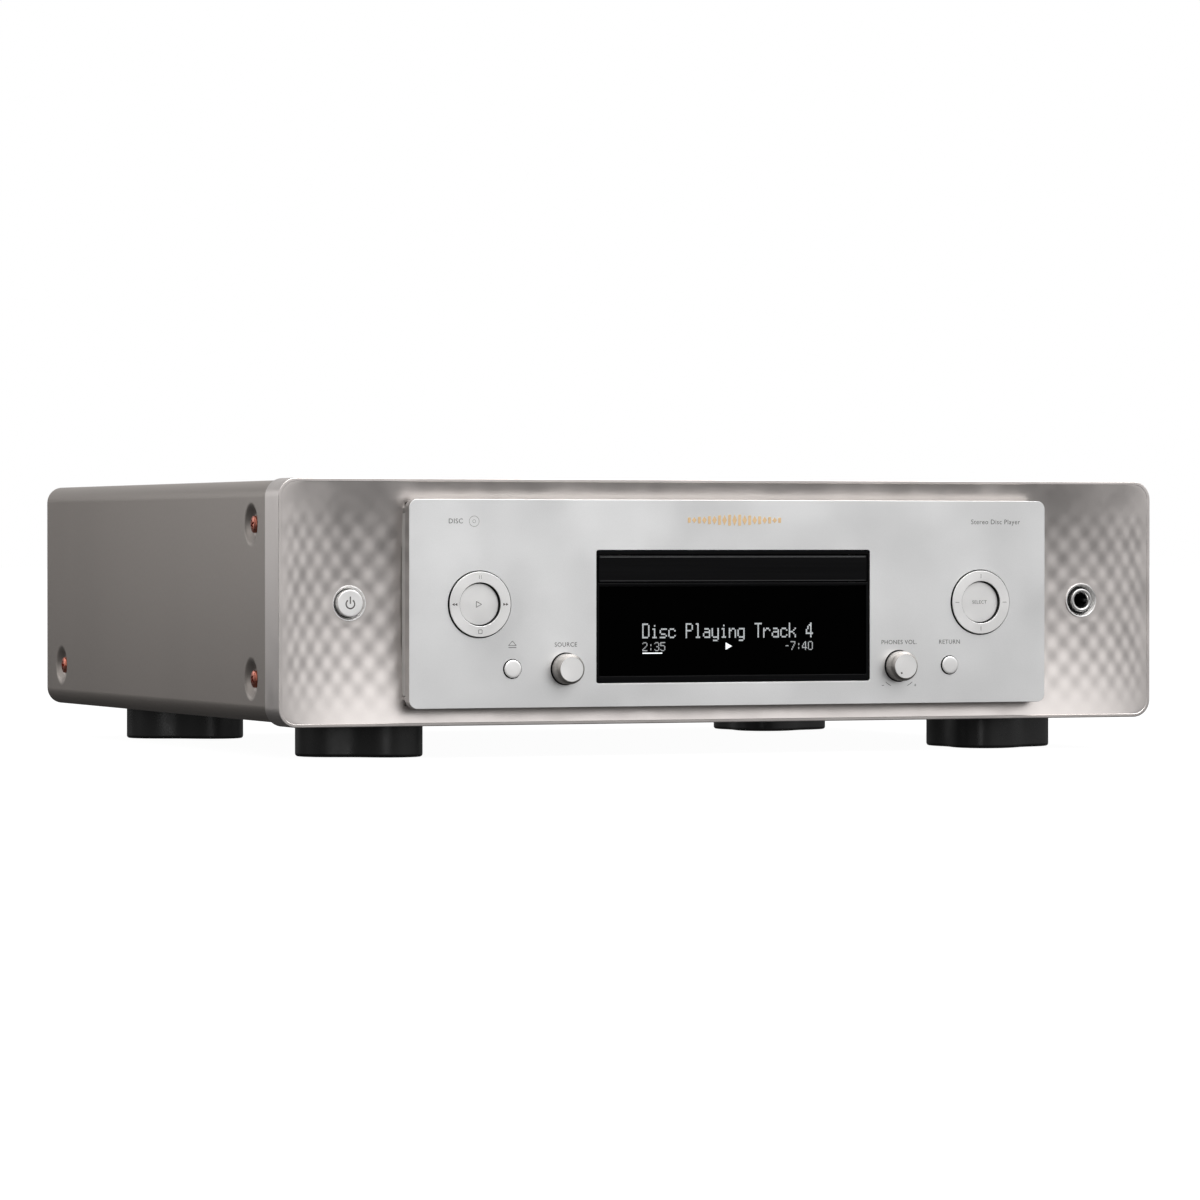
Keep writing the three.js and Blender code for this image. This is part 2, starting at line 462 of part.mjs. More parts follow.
// ---------------------------------------------------------------- traverse
// The sub-chassis is drawn level, as it plays, and then tipped down about its rear hinge.
function traverse() {
  const tipped = new THREE.Group();
  tipped.position.set(0, TRAVERSE.hingeY, TRAVERSE.hingeZ);
  tipped.rotation.x = THREE.MathUtils.degToRad(TRAVERSE.lowered);
  const level = new THREE.Group();
  level.position.set(0, -TRAVERSE.hingeY, -TRAVERSE.hingeZ);
  tipped.add(level);
  group.add(tipped);

  const { halfWidth, front, rear, hingeY, hingeZ, sheet } = TRAVERSE;
  const { rodX, screwX, rodZ, rodRadius, lensY } = SLED;
  const [deckBottom, deckTop] = [hingeZ - sheet, hingeZ];
  const bore = rodRadius + GAP;
  const [pivotRadius, pivotEnd] = [2.4, 39.2];
  const post = { front: 86, rear: 172, half: 4, top: rodZ + 3 };
  const parts = [
    box(-halfWidth, halfWidth, front, rear, deckBottom, deckTop),
    rod("X", hingeY, hingeZ, pivotRadius, -pivotEnd, pivotEnd, 10),
  ];
  const opening = { halfWidth: 19.5, front: 94, rear: 170 };
  const cuts = [
    box(-opening.halfWidth, opening.halfWidth, opening.front, opening.rear, deckBottom - 1, deckTop + 1),
    rod("Z", 0, DISC.y, 4, deckBottom - 1, deckTop + 1, 10),
  ];
  for (const x of [-rodX, rodX]) {
    for (const y of [post.front, post.rear]) {
      parts.push(box(x - post.half, x + post.half, y, y + 4, deckTop - 0.2, post.top));
    }
    cuts.push(rod("Y", x, rodZ, bore, post.front - 1, post.rear + 5, 8));
  }
  piece("traverse_chassis", cut(join(parts), cuts), BARE_STEEL, level);

  const [rodFront, rodRear] = [post.front + 0.5, post.rear + 3.5];
  piece("guide_rod_left", rod("Y", -rodX, rodZ, rodRadius, rodFront, rodRear, 8), BRIGHT_STEEL, level);
  piece("guide_rod_right", rod("Y", rodX, rodZ, rodRadius, rodFront, rodRear, 8), BRIGHT_STEEL, level);
  const sledMotor = { front: 175, rear: 188.5, radius: 6 };
  const screw = rod("Y", screwX, rodZ, rodRadius, opening.front, sledMotor.front - 0.4, 8);
  piece("lead_screw", screw, BRIGHT_STEEL, level);
  const motor = rod("Y", screwX, rodZ + GAP, sledMotor.radius, sledMotor.front, sledMotor.rear, 12);
  piece("sled_motor", motor, BARE_STEEL, level);
  const [spindleRadius, spindleTop] = [12.5, 80];
  const spindle = rod("Z", 0, DISC.y, spindleRadius, deckTop + GAP, spindleTop, 20);
  piece("spindle_motor", spindle, BARE_STEEL, level);

  const block = { halfWidth: 28, front: lensY - 8, rear: lensY + 22, bottom: 72, top: 80 };
  const body = box(-block.halfWidth, block.halfWidth, block.front, block.rear, block.bottom, block.top);
  const tower = rod("Z", 0, lensY, 5, block.top - 0.2, 85.6, 12);
  const holes = [-rodX, screwX, rodX].map((x) => rod("Y", x, rodZ, bore, block.front - 1, block.rear + 1, 8));
  piece("laser_sled", cut(body.add(tower), holes), BLACK_PLASTIC, level);

  const { radius, bottom, top, noseTop } = TURNTABLE;
  const hub = [[0, spindleTop + GAP], [4, spindleTop + GAP], [4, bottom], [radius, bottom], [radius, top],
    [7.4, top], [6.6, noseTop - 0.4], [3, noseTop], [0, noseTop]];
  piece("turntable", turned("Z", 0, DISC.y, hub, 20), BLACK_PLASTIC, level);
}

// ---------------------------------------------------------------- case
const SIDE_FACE = WIDTH / 2 - CASE.inset;
const SCREW_HOLE = SCREW.shank + 0.4;

// The hollow that a pressed dish and its screw hole leave in the side face.
function dishProfile(sign) {
  const { dish, dishDepth } = SCREW;
  const floor = SIDE_FACE - dishDepth;
  const line = [[0, SIDE_FACE - 8], [SCREW_HOLE, SIDE_FACE - 8], [SCREW_HOLE, floor], [5, floor],
    [dish, SIDE_FACE], [dish, SIDE_FACE + 1], [0, SIDE_FACE + 1]];
  return line.map(([radius, x]) => [radius, sign * x]);
}

// The cover wraps the top and sides, turns under at the bottom, and is dished round each screw.
function topCover() {
  const half = SIDE_FACE;
  const { bottom, top, radius, sheet, rear, lip } = CASE;
  const front = PANEL.depth + GAP;
  const outer = roundedBlock(-half, half, front, rear, bottom, top, radius);
  const inner = roundedBlock(-half + sheet, half - sheet, front - 1, rear + 1, bottom + sheet, top - sheet,
    radius - sheet);
  const parts = [cut(outer, [inner, box(-lip, lip, front - 1, rear + 1, bottom - 1, bottom + sheet + 1)])];
  const cuts = [];
  const bossRadius = SCREW.dish + 1.1;
  for (const side of [-1, 1]) {
    for (const [y, z] of SIDE_SCREWS) {
      const boss = [side * (half - 4), side * (half - sheet + 0.1)].sort((a, b) => a - b);
      parts.push(rod("X", y, z, bossRadius, ...boss, 12));
      cuts.push(turned("X", y, z, dishProfile(side), 16));
    }
  }
  const { x: ventX, pitch, count, width, front: ventFront, rear: ventRear } = VENT;
  for (const middle of [-ventX, ventX]) {
    for (let slot = 0; slot < count; slot += 1) {
      const left = middle + (slot - (count - 1) / 2) * pitch - width / 2;
      cuts.push(box(left, left + width, ventFront, ventRear, top - 3, top + 1));
    }
  }
  piece("top_cover", cut(join(parts), cuts), COVER_PAINT);
}

// The steel floor, with its front and side flanges folded up.
function bottomChassis() {
  const { bottom, halfWidth, front, rear, flangeTop, frontTop } = FLOOR;
  const top = bottom + CASE.sheet;
  const parts = [
    box(-halfWidth, halfWidth, front, rear, bottom, top),
    box(-halfWidth, halfWidth, front, front + CASE.sheet, top - 0.2, frontTop),
  ];
  for (const side of [-1, 1]) {
    parts.push(across(side, halfWidth - CASE.sheet, halfWidth, front, rear, top - 0.2, flangeTop));
  }
  const cuts = SIDE_SCREWS.map(([y, z]) => rod("X", y, z, SCREW_HOLE, -halfWidth - 1, halfWidth + 1, 8));
  piece("bottom_chassis", cut(join(parts), cuts), BARE_STEEL);
}

function sideScrews() {
  const { head, headDepth, shank, sunk, end } = SCREW;
  const face = SIDE_FACE - sunk;
  const names = ["front_upper", "front_lower", "rear_lower"];
  const line = [[0, face], [head, face], [head, face - headDepth], [shank, face - headDepth],
    [shank, end], [0, end]];
  const profile = (sign) => line.map(([radius, x]) => [radius, sign * x]);
  for (const [side, word] of [[-1, "left"], [1, "right"]]) {
    SIDE_SCREWS.forEach(([y, z], index) => {
      piece(`screw_${word}_${names[index]}`, turned("X", y, z, profile(side), 12), COPPER);
    });
  }
}

// Each foot is a three-lobed block with one lobe pointing out to its own side.
function feet() {
  const steps = 24;
  const edge = 1;
  for (const [side, word] of [[-1, "left"], [1, "right"]]) {
    for (const [y, end] of [[FOOT.front, "front"], [FOOT.rear, "rear"]]) {
      const points = [];
      for (let step = 0; step < steps; step += 1) {
        const angle = 2 * Math.PI * step / steps;
        const r = FOOT.mean - edge + FOOT.lobe * Math.cos(3 * angle);
        points.push(new THREE.Vector2(side * (FOOT.x + r * Math.cos(angle)), y + r * Math.sin(angle)));
      }
      if (side < 0) points.reverse();
      const body = new THREE.ExtrudeGeometry(new THREE.Shape(points), {
        depth: FOOT.top - 2 * edge, bevelThickness: edge, bevelSize: edge, bevelSegments: 1,
      });
      piece(`foot_${end}_${word}`, solid(body.translate(0, 0, edge)), BLACK_PLASTIC);
    }
  }
}

// ---------------------------------------------------------------- rear panel and sockets
// Sockets sit on the inner face of the rear panel and show through holes cut to their size.
// The two data sockets have flanges that lie side by side in one wide hole and fill it. That
// hole and the mains inlet's have their tops and bottoms at the same heights.
const PORTS = { left: -75.3, right: -29.7, bottom: 44.7, top: 71.3 };
const REAR = {
  mains: { x: -182, z: 58, halfWidth: 14.5, halfHeight: 13, wall: 2, lintel: 4.5, deep: 17, proud: 1.2 },
  network: { x: -40, z: 52, halfWidth: 8, halfHeight: 7, wall: 1.2, lintel: 1.2, deep: 13, proud: 0.6,
    flange: [-52.7, PORTS.right - GAP] },
  usb: { x: -66, z: 52, halfWidth: 7.2, halfHeight: 3.6, wall: 0.7, lintel: 0.7, deep: 13, proud: 0.6,
    flange: [PORTS.left + GAP, -53] },
  digital: { x: 36, z: 54, radius: 4.2, bodyHalf: 8, left: 7, right: 25, optical: 18, opticalHalf: 5 },
  analogue: { x: 150, z: 58, pitch: 19, radius: 4.6, bodyHalf: 8, bodyReach: 20 },
  barrelBore: { radius: 1.6, front: 376 },
  bodyDepth: 12,
};

function rearPanel() {
  const { back, front, halfWidth, bottom, top } = REAR_FACE;
  const plate = roundedBlock(-halfWidth, halfWidth, front, back, bottom, top, 5);
  const { mains, digital, analogue } = REAR;
  const hole = (x, z, w, h) => box(x - w, x + w, front - 1, back + 1, z - h, z + h);
  const holes = [
    hole(mains.x, mains.z, mains.halfWidth + GAP, mains.halfHeight + GAP),
    box(PORTS.left, PORTS.right, front - 1, back + 1, PORTS.bottom, PORTS.top),
    hole(digital.x + digital.optical, digital.z, digital.opticalHalf, digital.opticalHalf),
    rod("Y", digital.x, digital.z, digital.radius + 2 * GAP, front - 1, back + 1),
  ];
  for (const step of [-0.5, 0.5]) {
    const z = analogue.z + step * analogue.pitch;
    holes.push(rod("Y", analogue.x, z, analogue.radius + 2 * GAP, front - 1, back + 1));
  }
  piece("rear_panel", cut(plate, holes), COVER_PAINT);
}

// A socket open at the back. Its lintel is the thickness over and under the cavity.
function hollowSocket(name, spec, material, pins = []) {
  const { x, z, halfWidth: w, halfHeight: h, wall, lintel, deep, proud, flange } = spec;
  const [front, back] = [REAR_FACE.front - GAP - deep, REAR_FACE.back + proud];
  const parts = [box(x - w, x + w, front, back, z - h, z + h)];
  if (flange) {
    parts.push(box(...flange, REAR_FACE.front, REAR_FACE.back, PORTS.bottom + GAP, PORTS.top - GAP));
  }
  const cavity = box(x - w + wall, x + w - wall, front + wall, back + 1, z - h + lintel, z + h - lintel);
  piece(name, join([cut(join(parts), [cavity]), ...pins]), material);
}

function rearSockets() {
  const { mains, network, usb, digital, analogue } = REAR;
  const pinBack = REAR_FACE.back - 2;
  const pins = [[-7, -1], [7, -1], [0, 3]].map(([dx, dz]) =>
    box(mains.x + dx - 1, mains.x + dx + 1, pinBack - 16, pinBack, mains.z + dz - 2, mains.z + dz + 2));
  hollowSocket("mains_inlet", mains, BLACK_PLASTIC, pins);
  hollowSocket("network_socket", network, BARE_STEEL);
  hollowSocket("usb_socket", usb, BARE_STEEL);

  const inside = REAR_FACE.front - GAP;
  const { barrelBore, bodyDepth } = REAR;
  const barrel = (x, z, radius) => rod("Y", x, z, radius, inside - 1, REACH.rear, 12)
    .subtract(rod("Y", x, z, barrelBore.radius, barrelBore.front, REACH.rear + 1, 8));
  const { x, z } = digital;
  const digitalBody = box(x - digital.left, x + digital.right, inside - bodyDepth, inside,
    z - digital.bodyHalf, z + digital.bodyHalf);
  const reach = digital.opticalHalf - 0.4;
  const optical = box(x + digital.optical - reach, x + digital.optical + reach, inside - 1,
    REAR_FACE.back + 1.5, z - reach, z + reach);
  piece("digital_output", join([digitalBody, optical, barrel(x, z, digital.radius)]), BLACK_PLASTIC);
  const { bodyHalf, bodyReach, pitch, radius } = analogue;
  const analogueBody = box(analogue.x - bodyHalf, analogue.x + bodyHalf, inside - bodyDepth, inside,
    analogue.z - bodyReach, analogue.z + bodyReach);
  const barrels = [-0.5, 0.5].map((step) => barrel(analogue.x, analogue.z + step * pitch, radius));
  piece("analogue_output", join([analogueBody, ...barrels]), BRASS);
}

// ---------------------------------------------------------------- electronics
function board(name, x0, x1, y0, y1, components) {
  const floorTop = FLOOR.bottom + CASE.sheet;
  const low = floorTop + 6;
  const sheet = box(x0, x1, y0, y1, low, low + 1.6);
  const corner = 6;
  const posts = [x0 + corner, x1 - corner].flatMap((x) =>
    [y0 + corner, y1 - corner].map((y) => rod("Z", x, y, 3, floorTop + GAP, low + 0.2, 6)));
  const blocks = components.map(([x, y, radius, tall]) => rod("Z", x, y, radius, low + 1.4, low + tall, 10));
  piece(name, join([sheet, ...posts, ...blocks]), BOARD_GREEN);
}

// The mains transformer is a toroid. Each capacitor is [x, y, radius, height].
function electronics() {
  const { x, y, inner, outer, bottom, top } = TRANSFORMER;
  const edge = 2;
  const ring = [[inner, bottom], [outer - edge, bottom], [outer, bottom + edge], [outer, top - edge],
    [outer - edge, top], [inner, top], [inner, bottom]];
  piece("transformer", turned("Z", x, y, ring, 24), WINDING);
  const reservoirs = [[-180, 220, 12, 40], [-150, 220, 12, 40], [-180, 260, 9, 30], [-155, 258, 9, 30],
    [-115, 300, 6, 22]];
  board("power_board", -205, -85, 190, 335, reservoirs);
  const smoothing = [[110, 140, 8, 26], [140, 140, 8, 26], [170, 140, 8, 26], [110, 180, 6, 20],
    [170, 200, 6, 20]];
  board("audio_board", 85, 205, 90, 345, smoothing);
}

frontPanel();
frontPlate();
lightGuides();
displayWindow();
controlBoard();
ringControl(-1, "transport_ring", "transport_spring_frame", "play_button");
ringControl(1, "cursor_ring", "cursor_spring_frame", "enter_button");
smallButton(-1, "eject_button");
smallButton(1, "return_button");
knob(-1, "source_knob");
knob(1, "level_knob");
powerButton();
headphoneJack();
discTray();
trayGear();
loadingDrive();
loaderFrame();
clamp();
traverse();
topCover();
bottomChassis();
sideScrews();
feet();
rearPanel();
rearSockets();
electronics();

export default group;
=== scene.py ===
# The looks of a full-width disc player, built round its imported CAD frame.
# Shapes are drawn in millimetres: x to the right, y back from the rim of the front panel,
# z up from under the feet. make() turns them into metres in the shared frame.

import math

import bmesh
import bpy
from mathutils import Matrix, Vector


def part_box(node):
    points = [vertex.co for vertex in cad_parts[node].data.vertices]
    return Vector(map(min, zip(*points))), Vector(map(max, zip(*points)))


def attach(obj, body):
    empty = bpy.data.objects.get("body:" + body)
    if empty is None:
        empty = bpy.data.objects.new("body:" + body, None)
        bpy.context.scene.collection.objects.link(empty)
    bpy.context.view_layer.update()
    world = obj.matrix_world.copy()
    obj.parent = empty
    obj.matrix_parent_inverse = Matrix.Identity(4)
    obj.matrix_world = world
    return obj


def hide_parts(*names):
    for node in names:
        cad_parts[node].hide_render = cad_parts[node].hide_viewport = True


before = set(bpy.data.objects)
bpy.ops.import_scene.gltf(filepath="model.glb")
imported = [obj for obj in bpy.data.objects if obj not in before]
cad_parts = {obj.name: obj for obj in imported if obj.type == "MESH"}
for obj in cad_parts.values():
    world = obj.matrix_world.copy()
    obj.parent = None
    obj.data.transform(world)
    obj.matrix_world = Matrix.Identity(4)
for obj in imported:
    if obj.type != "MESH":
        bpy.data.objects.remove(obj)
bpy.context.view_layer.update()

MM = 0.001
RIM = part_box("front_panel")[0].y
CHASSIS = "chassis"


def box_mm(node):
    """The corners of a CAD node in drawing millimetres."""
    return [Vector((c.x / MM, (c.y - RIM) / MM, c.z / MM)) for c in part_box(node)]


def middle_mm(node):
    low, high = box_mm(node)
    return (low + high) / 2


PANEL_LOW, PANEL_HIGH = box_mm("front_panel")
PLATE_LOW, PLATE_HIGH = box_mm("front_plate")
FRAME_LOW, FRAME_HIGH = box_mm("window_frame")
GLASS_LOW, GLASS_HIGH = box_mm("display_glass")
COVER_LOW, COVER_HIGH = box_mm("top_cover")
RING_FRONT = box_mm("transport_ring")[0].y
LEFT_RING, RIGHT_RING = middle_mm("transport_ring"), middle_mm("cursor_ring")
POWER, JACK = middle_mm("power_button"), middle_mm("headphone_jack")


# ---------------------------------------------------------------- materials
def linear(red, green, blue):
    """Turns screen colour levels of 0 to 255 into Blender's linear colour."""
    def channel(level):
        share = level / 255
        return share / 12.92 if share <= 0.04045 else ((share + 0.055) / 1.055) ** 2.4
    return [channel(red), channel(green), channel(blue), 1.0]


def noise(tree, size, detail=2.0, stretch=(1, 1, 1), roughness=0.5):
    """A noise texture whose features measure about size millimetres, longer along a stretched axis."""
    place = tree.nodes.new("ShaderNodeTexCoord")
    mapping = tree.nodes.new("ShaderNodeMapping")
    mapping.inputs["Scale"].default_value = [1 / (size * MM * s) for s in stretch]
    pattern = tree.nodes.new("ShaderNodeTexNoise")
    pattern.inputs["Scale"].default_value = 1.0
    pattern.inputs["Detail"].default_value = detail
    pattern.inputs["Roughness"].default_value = roughness
    tree.links.new(place.outputs["Object"], mapping.inputs["Vector"])
    tree.links.new(mapping.outputs["Vector"], pattern.inputs["Vector"])
    return pattern.outputs["Fac"]


def spread(tree, source, low, high):
    """Maps a noise's useful range onto low to high."""
    reach = tree.nodes.new("ShaderNodeMapRange")
    reach.inputs["From Min"].default_value = 0.3
    reach.inputs["From Max"].default_value = 0.7
    reach.inputs["To Min"].default_value = low
    reach.inputs["To Max"].default_value = high
    tree.links.new(source, reach.inputs["Value"])
    return reach.outputs["Result"]


def finish(name, colour, roughness, metallic=0.0, mottle=0.05, mottle_size=15, uneven=0.06,
           grain_size=0.25, depth=0.01, stretch=(1, 1, 1), fleck=0.04, **sockets):
    """A finish whose colour and roughness drift over mottle_size, under a grain of grain_size, in mm."""
    made = bpy.data.materials.new(name)
    made.use_nodes = True
    tree = made.node_tree
    shader = tree.nodes["Principled BSDF"]
    shader.inputs["Metallic"].default_value = metallic
    for socket, value in sockets.items():
        shader.inputs[socket.replace("_", " ")].default_value = value

    drift = noise(tree, mottle_size, 4.0, stretch)
    grain = noise(tree, grain_size, 3.0, stretch)
    value = tree.nodes.new("ShaderNodeMath")
    value.operation = "ADD"
    tree.links.new(spread(tree, drift, 1 - mottle, 1 + mottle), value.inputs[0])
    tree.links.new(spread(tree, grain, -fleck, fleck), value.inputs[1])
    tint = tree.nodes.new("ShaderNodeVectorMath")
    tint.operation = "SCALE"
    tint.inputs[0].default_value = linear(*colour)[:3]
    tree.links.new(value.outputs["Value"], tint.inputs["Scale"])
    tree.links.new(tint.outputs["Vector"], shader.inputs["Base Color"])
    tree.links.new(spread(tree, drift, roughness - uneven, roughness + uneven), shader.inputs["Roughness"])

    bump = tree.nodes.new("ShaderNodeBump")
    bump.inputs["Strength"].default_value = 1.0
    bump.inputs["Distance"].default_value = depth * MM
    tree.links.new(grain, bump.inputs["Height"])
    tree.links.new(bump.outputs["Normal"], shader.inputs["Normal"])
    return made


def glowing(name, colour, strength):
    """The lit dots of the display, a little uneven from dot to dot."""
    made = finish(name, colour, 0.4, mottle=0.08, mottle_size=3)
    shader = made.node_tree.nodes["Principled BSDF"]
    tint = shader.inputs["Base Color"].links[0].from_socket
    made.node_tree.links.new(tint, shader.inputs["Emission Color"])
    shader.inputs["Emission Strength"].default_value = strength
    return made


PANEL = finish("satin_lacquered_panel", (215, 209, 206), 0.36, 1.0, mottle=0.03, grain_size=0.12,
               depth=0.004, fleck=0.05)
PLATE = finish("blasted_aluminium", (241, 241, 241), 0.42, 1.0, mottle=0.015, mottle_size=40,
               grain_size=0.1, depth=0.006, fleck=0.05)
PLATE_EDGE = finish("machined_plate_edge", (190, 188, 186), 0.45, 1.0, mottle=0.03, mottle_size=12,
                    grain_size=0.2, depth=0.006)
CONTROL = finish("satin_control", (250, 249, 248), 0.43, 1.0, mottle=0.02, grain_size=0.12, depth=0.004)
# A darker copy of the control finish for the knobs' sides: painted shade where the side turns away from the light.
KNOB_SHADE = finish("knob_painted_shade", (172, 168, 164), 0.4, 1.0, mottle=0.03, grain_size=0.12, depth=0.004)
COVER = finish("cover_paint", (160, 153, 148), 0.42, 0.8, mottle=0.015, mottle_size=30, uneven=0.015,
               grain_size=0.25, depth=0.008, stretch=(1, 1, 8), fleck=0.06)
STEEL = finish("zinc_plated_steel", (176, 178, 180), 0.38, 1.0, mottle=0.12, mottle_size=6, uneven=0.12,
               grain_size=0.6)
CHROME = finish("bright_steel", (218, 217, 216), 0.24, 1.0, mottle=0.03, uneven=0.04, depth=0.002)
COPPER = finish("copper_plate", (196, 118, 100), 0.3, 1.0, mottle=0.12, mottle_size=2, grain_size=0.2)
PIANO_BLACK = finish("piano_black", (5, 5, 6), 0.22, mottle=0.2, uneven=0.03, depth=0.001,
                     Specular_IOR_Level=0.09)
DOOR_BLACK = finish("brushed_black", (5, 5, 6), 0.34, 0.0, mottle=0.25, mottle_size=2,
                    stretch=(30, 1, 0.3), grain_size=0.25, depth=0.006, Specular_IOR_Level=0.09)
# Grey lines for the tray door's top and bottom edges: painted highlights where the rounded edges catch light, the top
# one lighter.
DOOR_HIGHLIGHT = finish("door_top_painted_highlight", (74, 74, 75), 0.4, mottle=0.06, mottle_size=8, Specular_IOR_Level=0.3)
DOOR_HIGHLIGHT_LOW = finish("door_bottom_painted_highlight", (38, 38, 39), 0.4, mottle=0.06, mottle_size=8,
                      Specular_IOR_Level=0.3)
GLASS = finish("smoked_glass", (1, 1, 1), 0.08, mottle=0.2, uneven=0.02, depth=0.0005,
               Specular_IOR_Level=0.008)
BLACK = finish("black_plastic", (24, 24, 25), 0.5, mottle=0.15, grain_size=0.3, depth=0.02)
FOOT = finish("foot_plastic", (5, 5, 5), 0.3, mottle=0.15, mottle_size=10, uneven=0.06,
              grain_size=0.35, depth=0.004, Specular_IOR_Level=0.6)
GREY = finish("grey_plastic", (74, 75, 77), 0.55, mottle=0.08, grain_size=0.35, depth=0.02)
RUBBER = finish("belt_rubber", (22, 22, 22), 0.8, mottle=0.2, grain_size=0.4, depth=0.03)
CLEAR = finish("frosted_clear", (204, 202, 199), 0.45, mottle=0.03, Transmission_Weight=0.2)
BOARD = finish("circuit_board", (24, 84, 52), 0.42, mottle=0.25, mottle_size=3, grain_size=0.8, depth=0.03)
WINDING = finish("copper_winding", (140, 78, 40), 0.4, 0.6, mottle=0.2, mottle_size=2,
                 stretch=(1, 1, 6), grain_size=0.5, depth=0.1)
BRASS = finish("gold_plated_brass", (214, 176, 92), 0.24, 1.0, mottle=0.06, mottle_size=4)
GOLD = finish("gold_print", (226, 193, 148), 0.4, 0.35, mottle=0.04, mottle_size=4, fleck=0.08)
PRINT = finish("grey_print", (80, 78, 76), 0.6, mottle=0.06, mottle_size=1)
FAINT_PRINT = finish("faint_print", (160, 158, 156), 0.6, mottle=0.06, mottle_size=1)
WHITE_PLASTIC = finish("white_plastic", (222, 221, 216), 0.45, mottle=0.04, grain_size=0.4)
RED_PLASTIC = finish("red_plastic", (170, 30, 28), 0.45, mottle=0.08, grain_size=0.4)
ORANGE_PLASTIC = finish("orange_plastic", (206, 110, 34), 0.45, mottle=0.08, grain_size=0.4)
BRIGHT_DOTS = glowing("lit_dots", (218, 222, 224), 0.8)
TITLE_DOTS = glowing("title_dots", (160, 164, 166), 0.5)
DIM_DOTS = glowing("dim_dots", (150, 153, 155), 0.45)


# ---------------------------------------------------------------- mesh tools
def make(name, points, faces):
    """A mesh object from points in drawing millimetres, its faces turned outwards."""
    mesh = bpy.data.meshes.new(name)
    mesh.from_pydata([(x * MM, RIM + y * MM, z * MM) for x, y, z in points], [], faces)
    shape = bmesh.new()
    shape.from_mesh(mesh)
    bmesh.ops.recalc_face_normals(shape, faces=shape.faces)
    shape.to_mesh(mesh)
    shape.free()
    made = bpy.data.objects.new(name, mesh)
    bpy.context.scene.collection.objects.link(made)
    return made


def settle(obj):
    """Applies an object's modifiers, or turns a curve into its mesh."""
    graph = bpy.context.evaluated_depsgraph_get()
    mesh = bpy.data.meshes.new_from_object(obj.evaluated_get(graph))
    name = obj.name
    world = obj.matrix_world.copy()
    bpy.data.objects.remove(obj)
    mesh.transform(world)
    mesh.materials.clear()
    settled = bpy.data.objects.new(name, mesh)
    settled.name = name
    bpy.context.scene.collection.objects.link(settled)
    return settled


def combine(obj, others, operation="DIFFERENCE"):
    """Cuts the others out of obj, or joins them to it."""
    for other in others:
        step = obj.modifiers.new("combine", "BOOLEAN")
        step.operation = operation
        step.solver = "EXACT"
        step.object = other
    made = settle(obj)
    for other in others:
        bpy.data.objects.remove(other)
    return made


def soften(obj, width, segments=3, angle=30):
    """Rounds every edge sharper than angle, by width millimetres."""
    step = obj.modifiers.new("soften", "BEVEL")
    step.width = width * MM
    step.segments = segments
    step.limit_method = "ANGLE"
    step.angle_limit = math.radians(angle)
    return settle(obj)


def put(obj, material, body=CHASSIS, replaces=(), smooth=32):
    """Finishes a piece: smooth curves with sharp corners, its material and body."""
    mesh = obj.data
    mesh.materials.clear()
    mesh.materials.append(material)
    mesh.shade_smooth()
    mesh.set_sharp_from_angle(angle=math.radians(smooth))
    even = obj.modifiers.new("even_shading", "WEIGHTED_NORMAL")
    even.keep_sharp = True
    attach(obj, body)
    if replaces:
        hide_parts(*replaces)
    return obj


def rounded(points, reach, steps=4, closed=False):
    """The same line with each corner turned into a curve that starts reach before it."""
    line = []
    last = len(points) - 1
    for index, point in enumerate(points):
        here = Vector(point)
        if not closed and index in (0, last):
            line.append(here)
            continue
        before = Vector(points[index - 1]) - here
        after = Vector(points[0 if index == last else index + 1]) - here
        start = here + before.normalized() * min(reach, before.length / 2)
        end = here + after.normalized() * min(reach, after.length / 2)
        for step in range(steps + 1):
            t = step / steps
            line.append(start * (1 - t) ** 2 + here * 2 * t * (1 - t) + end * t ** 2)
    return line


def lathe(name, centre, profile, axis="Y", sides=64, closed=False, shape=None):
    """A body turned about an axis through centre. The profile lists radius and distance along the axis."""
    u, v, w = {"X": (1, 2, 0), "Y": (0, 2, 1), "Z": (0, 1, 2)}[axis]
    points, rows = [], []
    for radius, along in profile:
        row = []
        for step in range(sides if radius > 0 else 1):
            angle = 2 * math.pi * step / sides
            reach = radius + (shape(angle) if shape and radius > 0 else 0)
            point = [0, 0, 0]
            point[u] = centre[u] + reach * math.cos(angle)
            point[v] = centre[v] + reach * math.sin(angle)
            point[w] = centre[w] + along
            row.append(len(points))
            points.append(point)
        rows.append(row)
    pairs = list(zip(rows, rows[1:]))
    if closed:
        pairs.append((rows[-1], rows[0]))
    faces = []
    for a, b in pairs:
        for k in range(sides):
            n = (k + 1) % sides
            corners = [a[k % len(a)], a[n % len(a)], b[n % len(b)], b[k % len(b)]]
            face = list(dict.fromkeys(corners))
            if len(face) > 2:
                faces.append(face)
    return make(name, points, faces)


def circle(x, z, radius, sides=64):
    turn = 2 * math.pi / sides
    return [(x + radius * math.cos(k * turn), z + radius * math.sin(k * turn)) for k in range(sides)]


def rectangle(x0, x1, z0, z1, radius=0, steps=6):
    """A rectangle's outline with round corners, anticlockwise."""
    if radius == 0:
        return [(x0, z0), (x1, z0), (x1, z1), (x0, z1)]
    corners = [(x1 - radius, z0 + radius, -90), (x1 - radius, z1 - radius, 0),
               (x0 + radius, z1 - radius, 90), (x0 + radius, z0 + radius, 180)]
    outline = []
    for x, z, start in corners:
        for step in range(steps + 1):
            angle = math.radians(start + 90 * step / steps)
            outline.append((x + radius * math.cos(angle), z + radius * math.sin(angle)))
    return outline


def bar(x0, z0, x1, z1, width):
    """A straight stroke from one point to another."""
    along = Vector((x1 - x0, z1 - z0)).normalized() * width / 2
    side = Vector((-along.y, along.x))
    a, b = Vector((x0, z0)), Vector((x1, z1))
    return [tuple(a - side), tuple(b - side), tuple(b + side), tuple(a + side)]


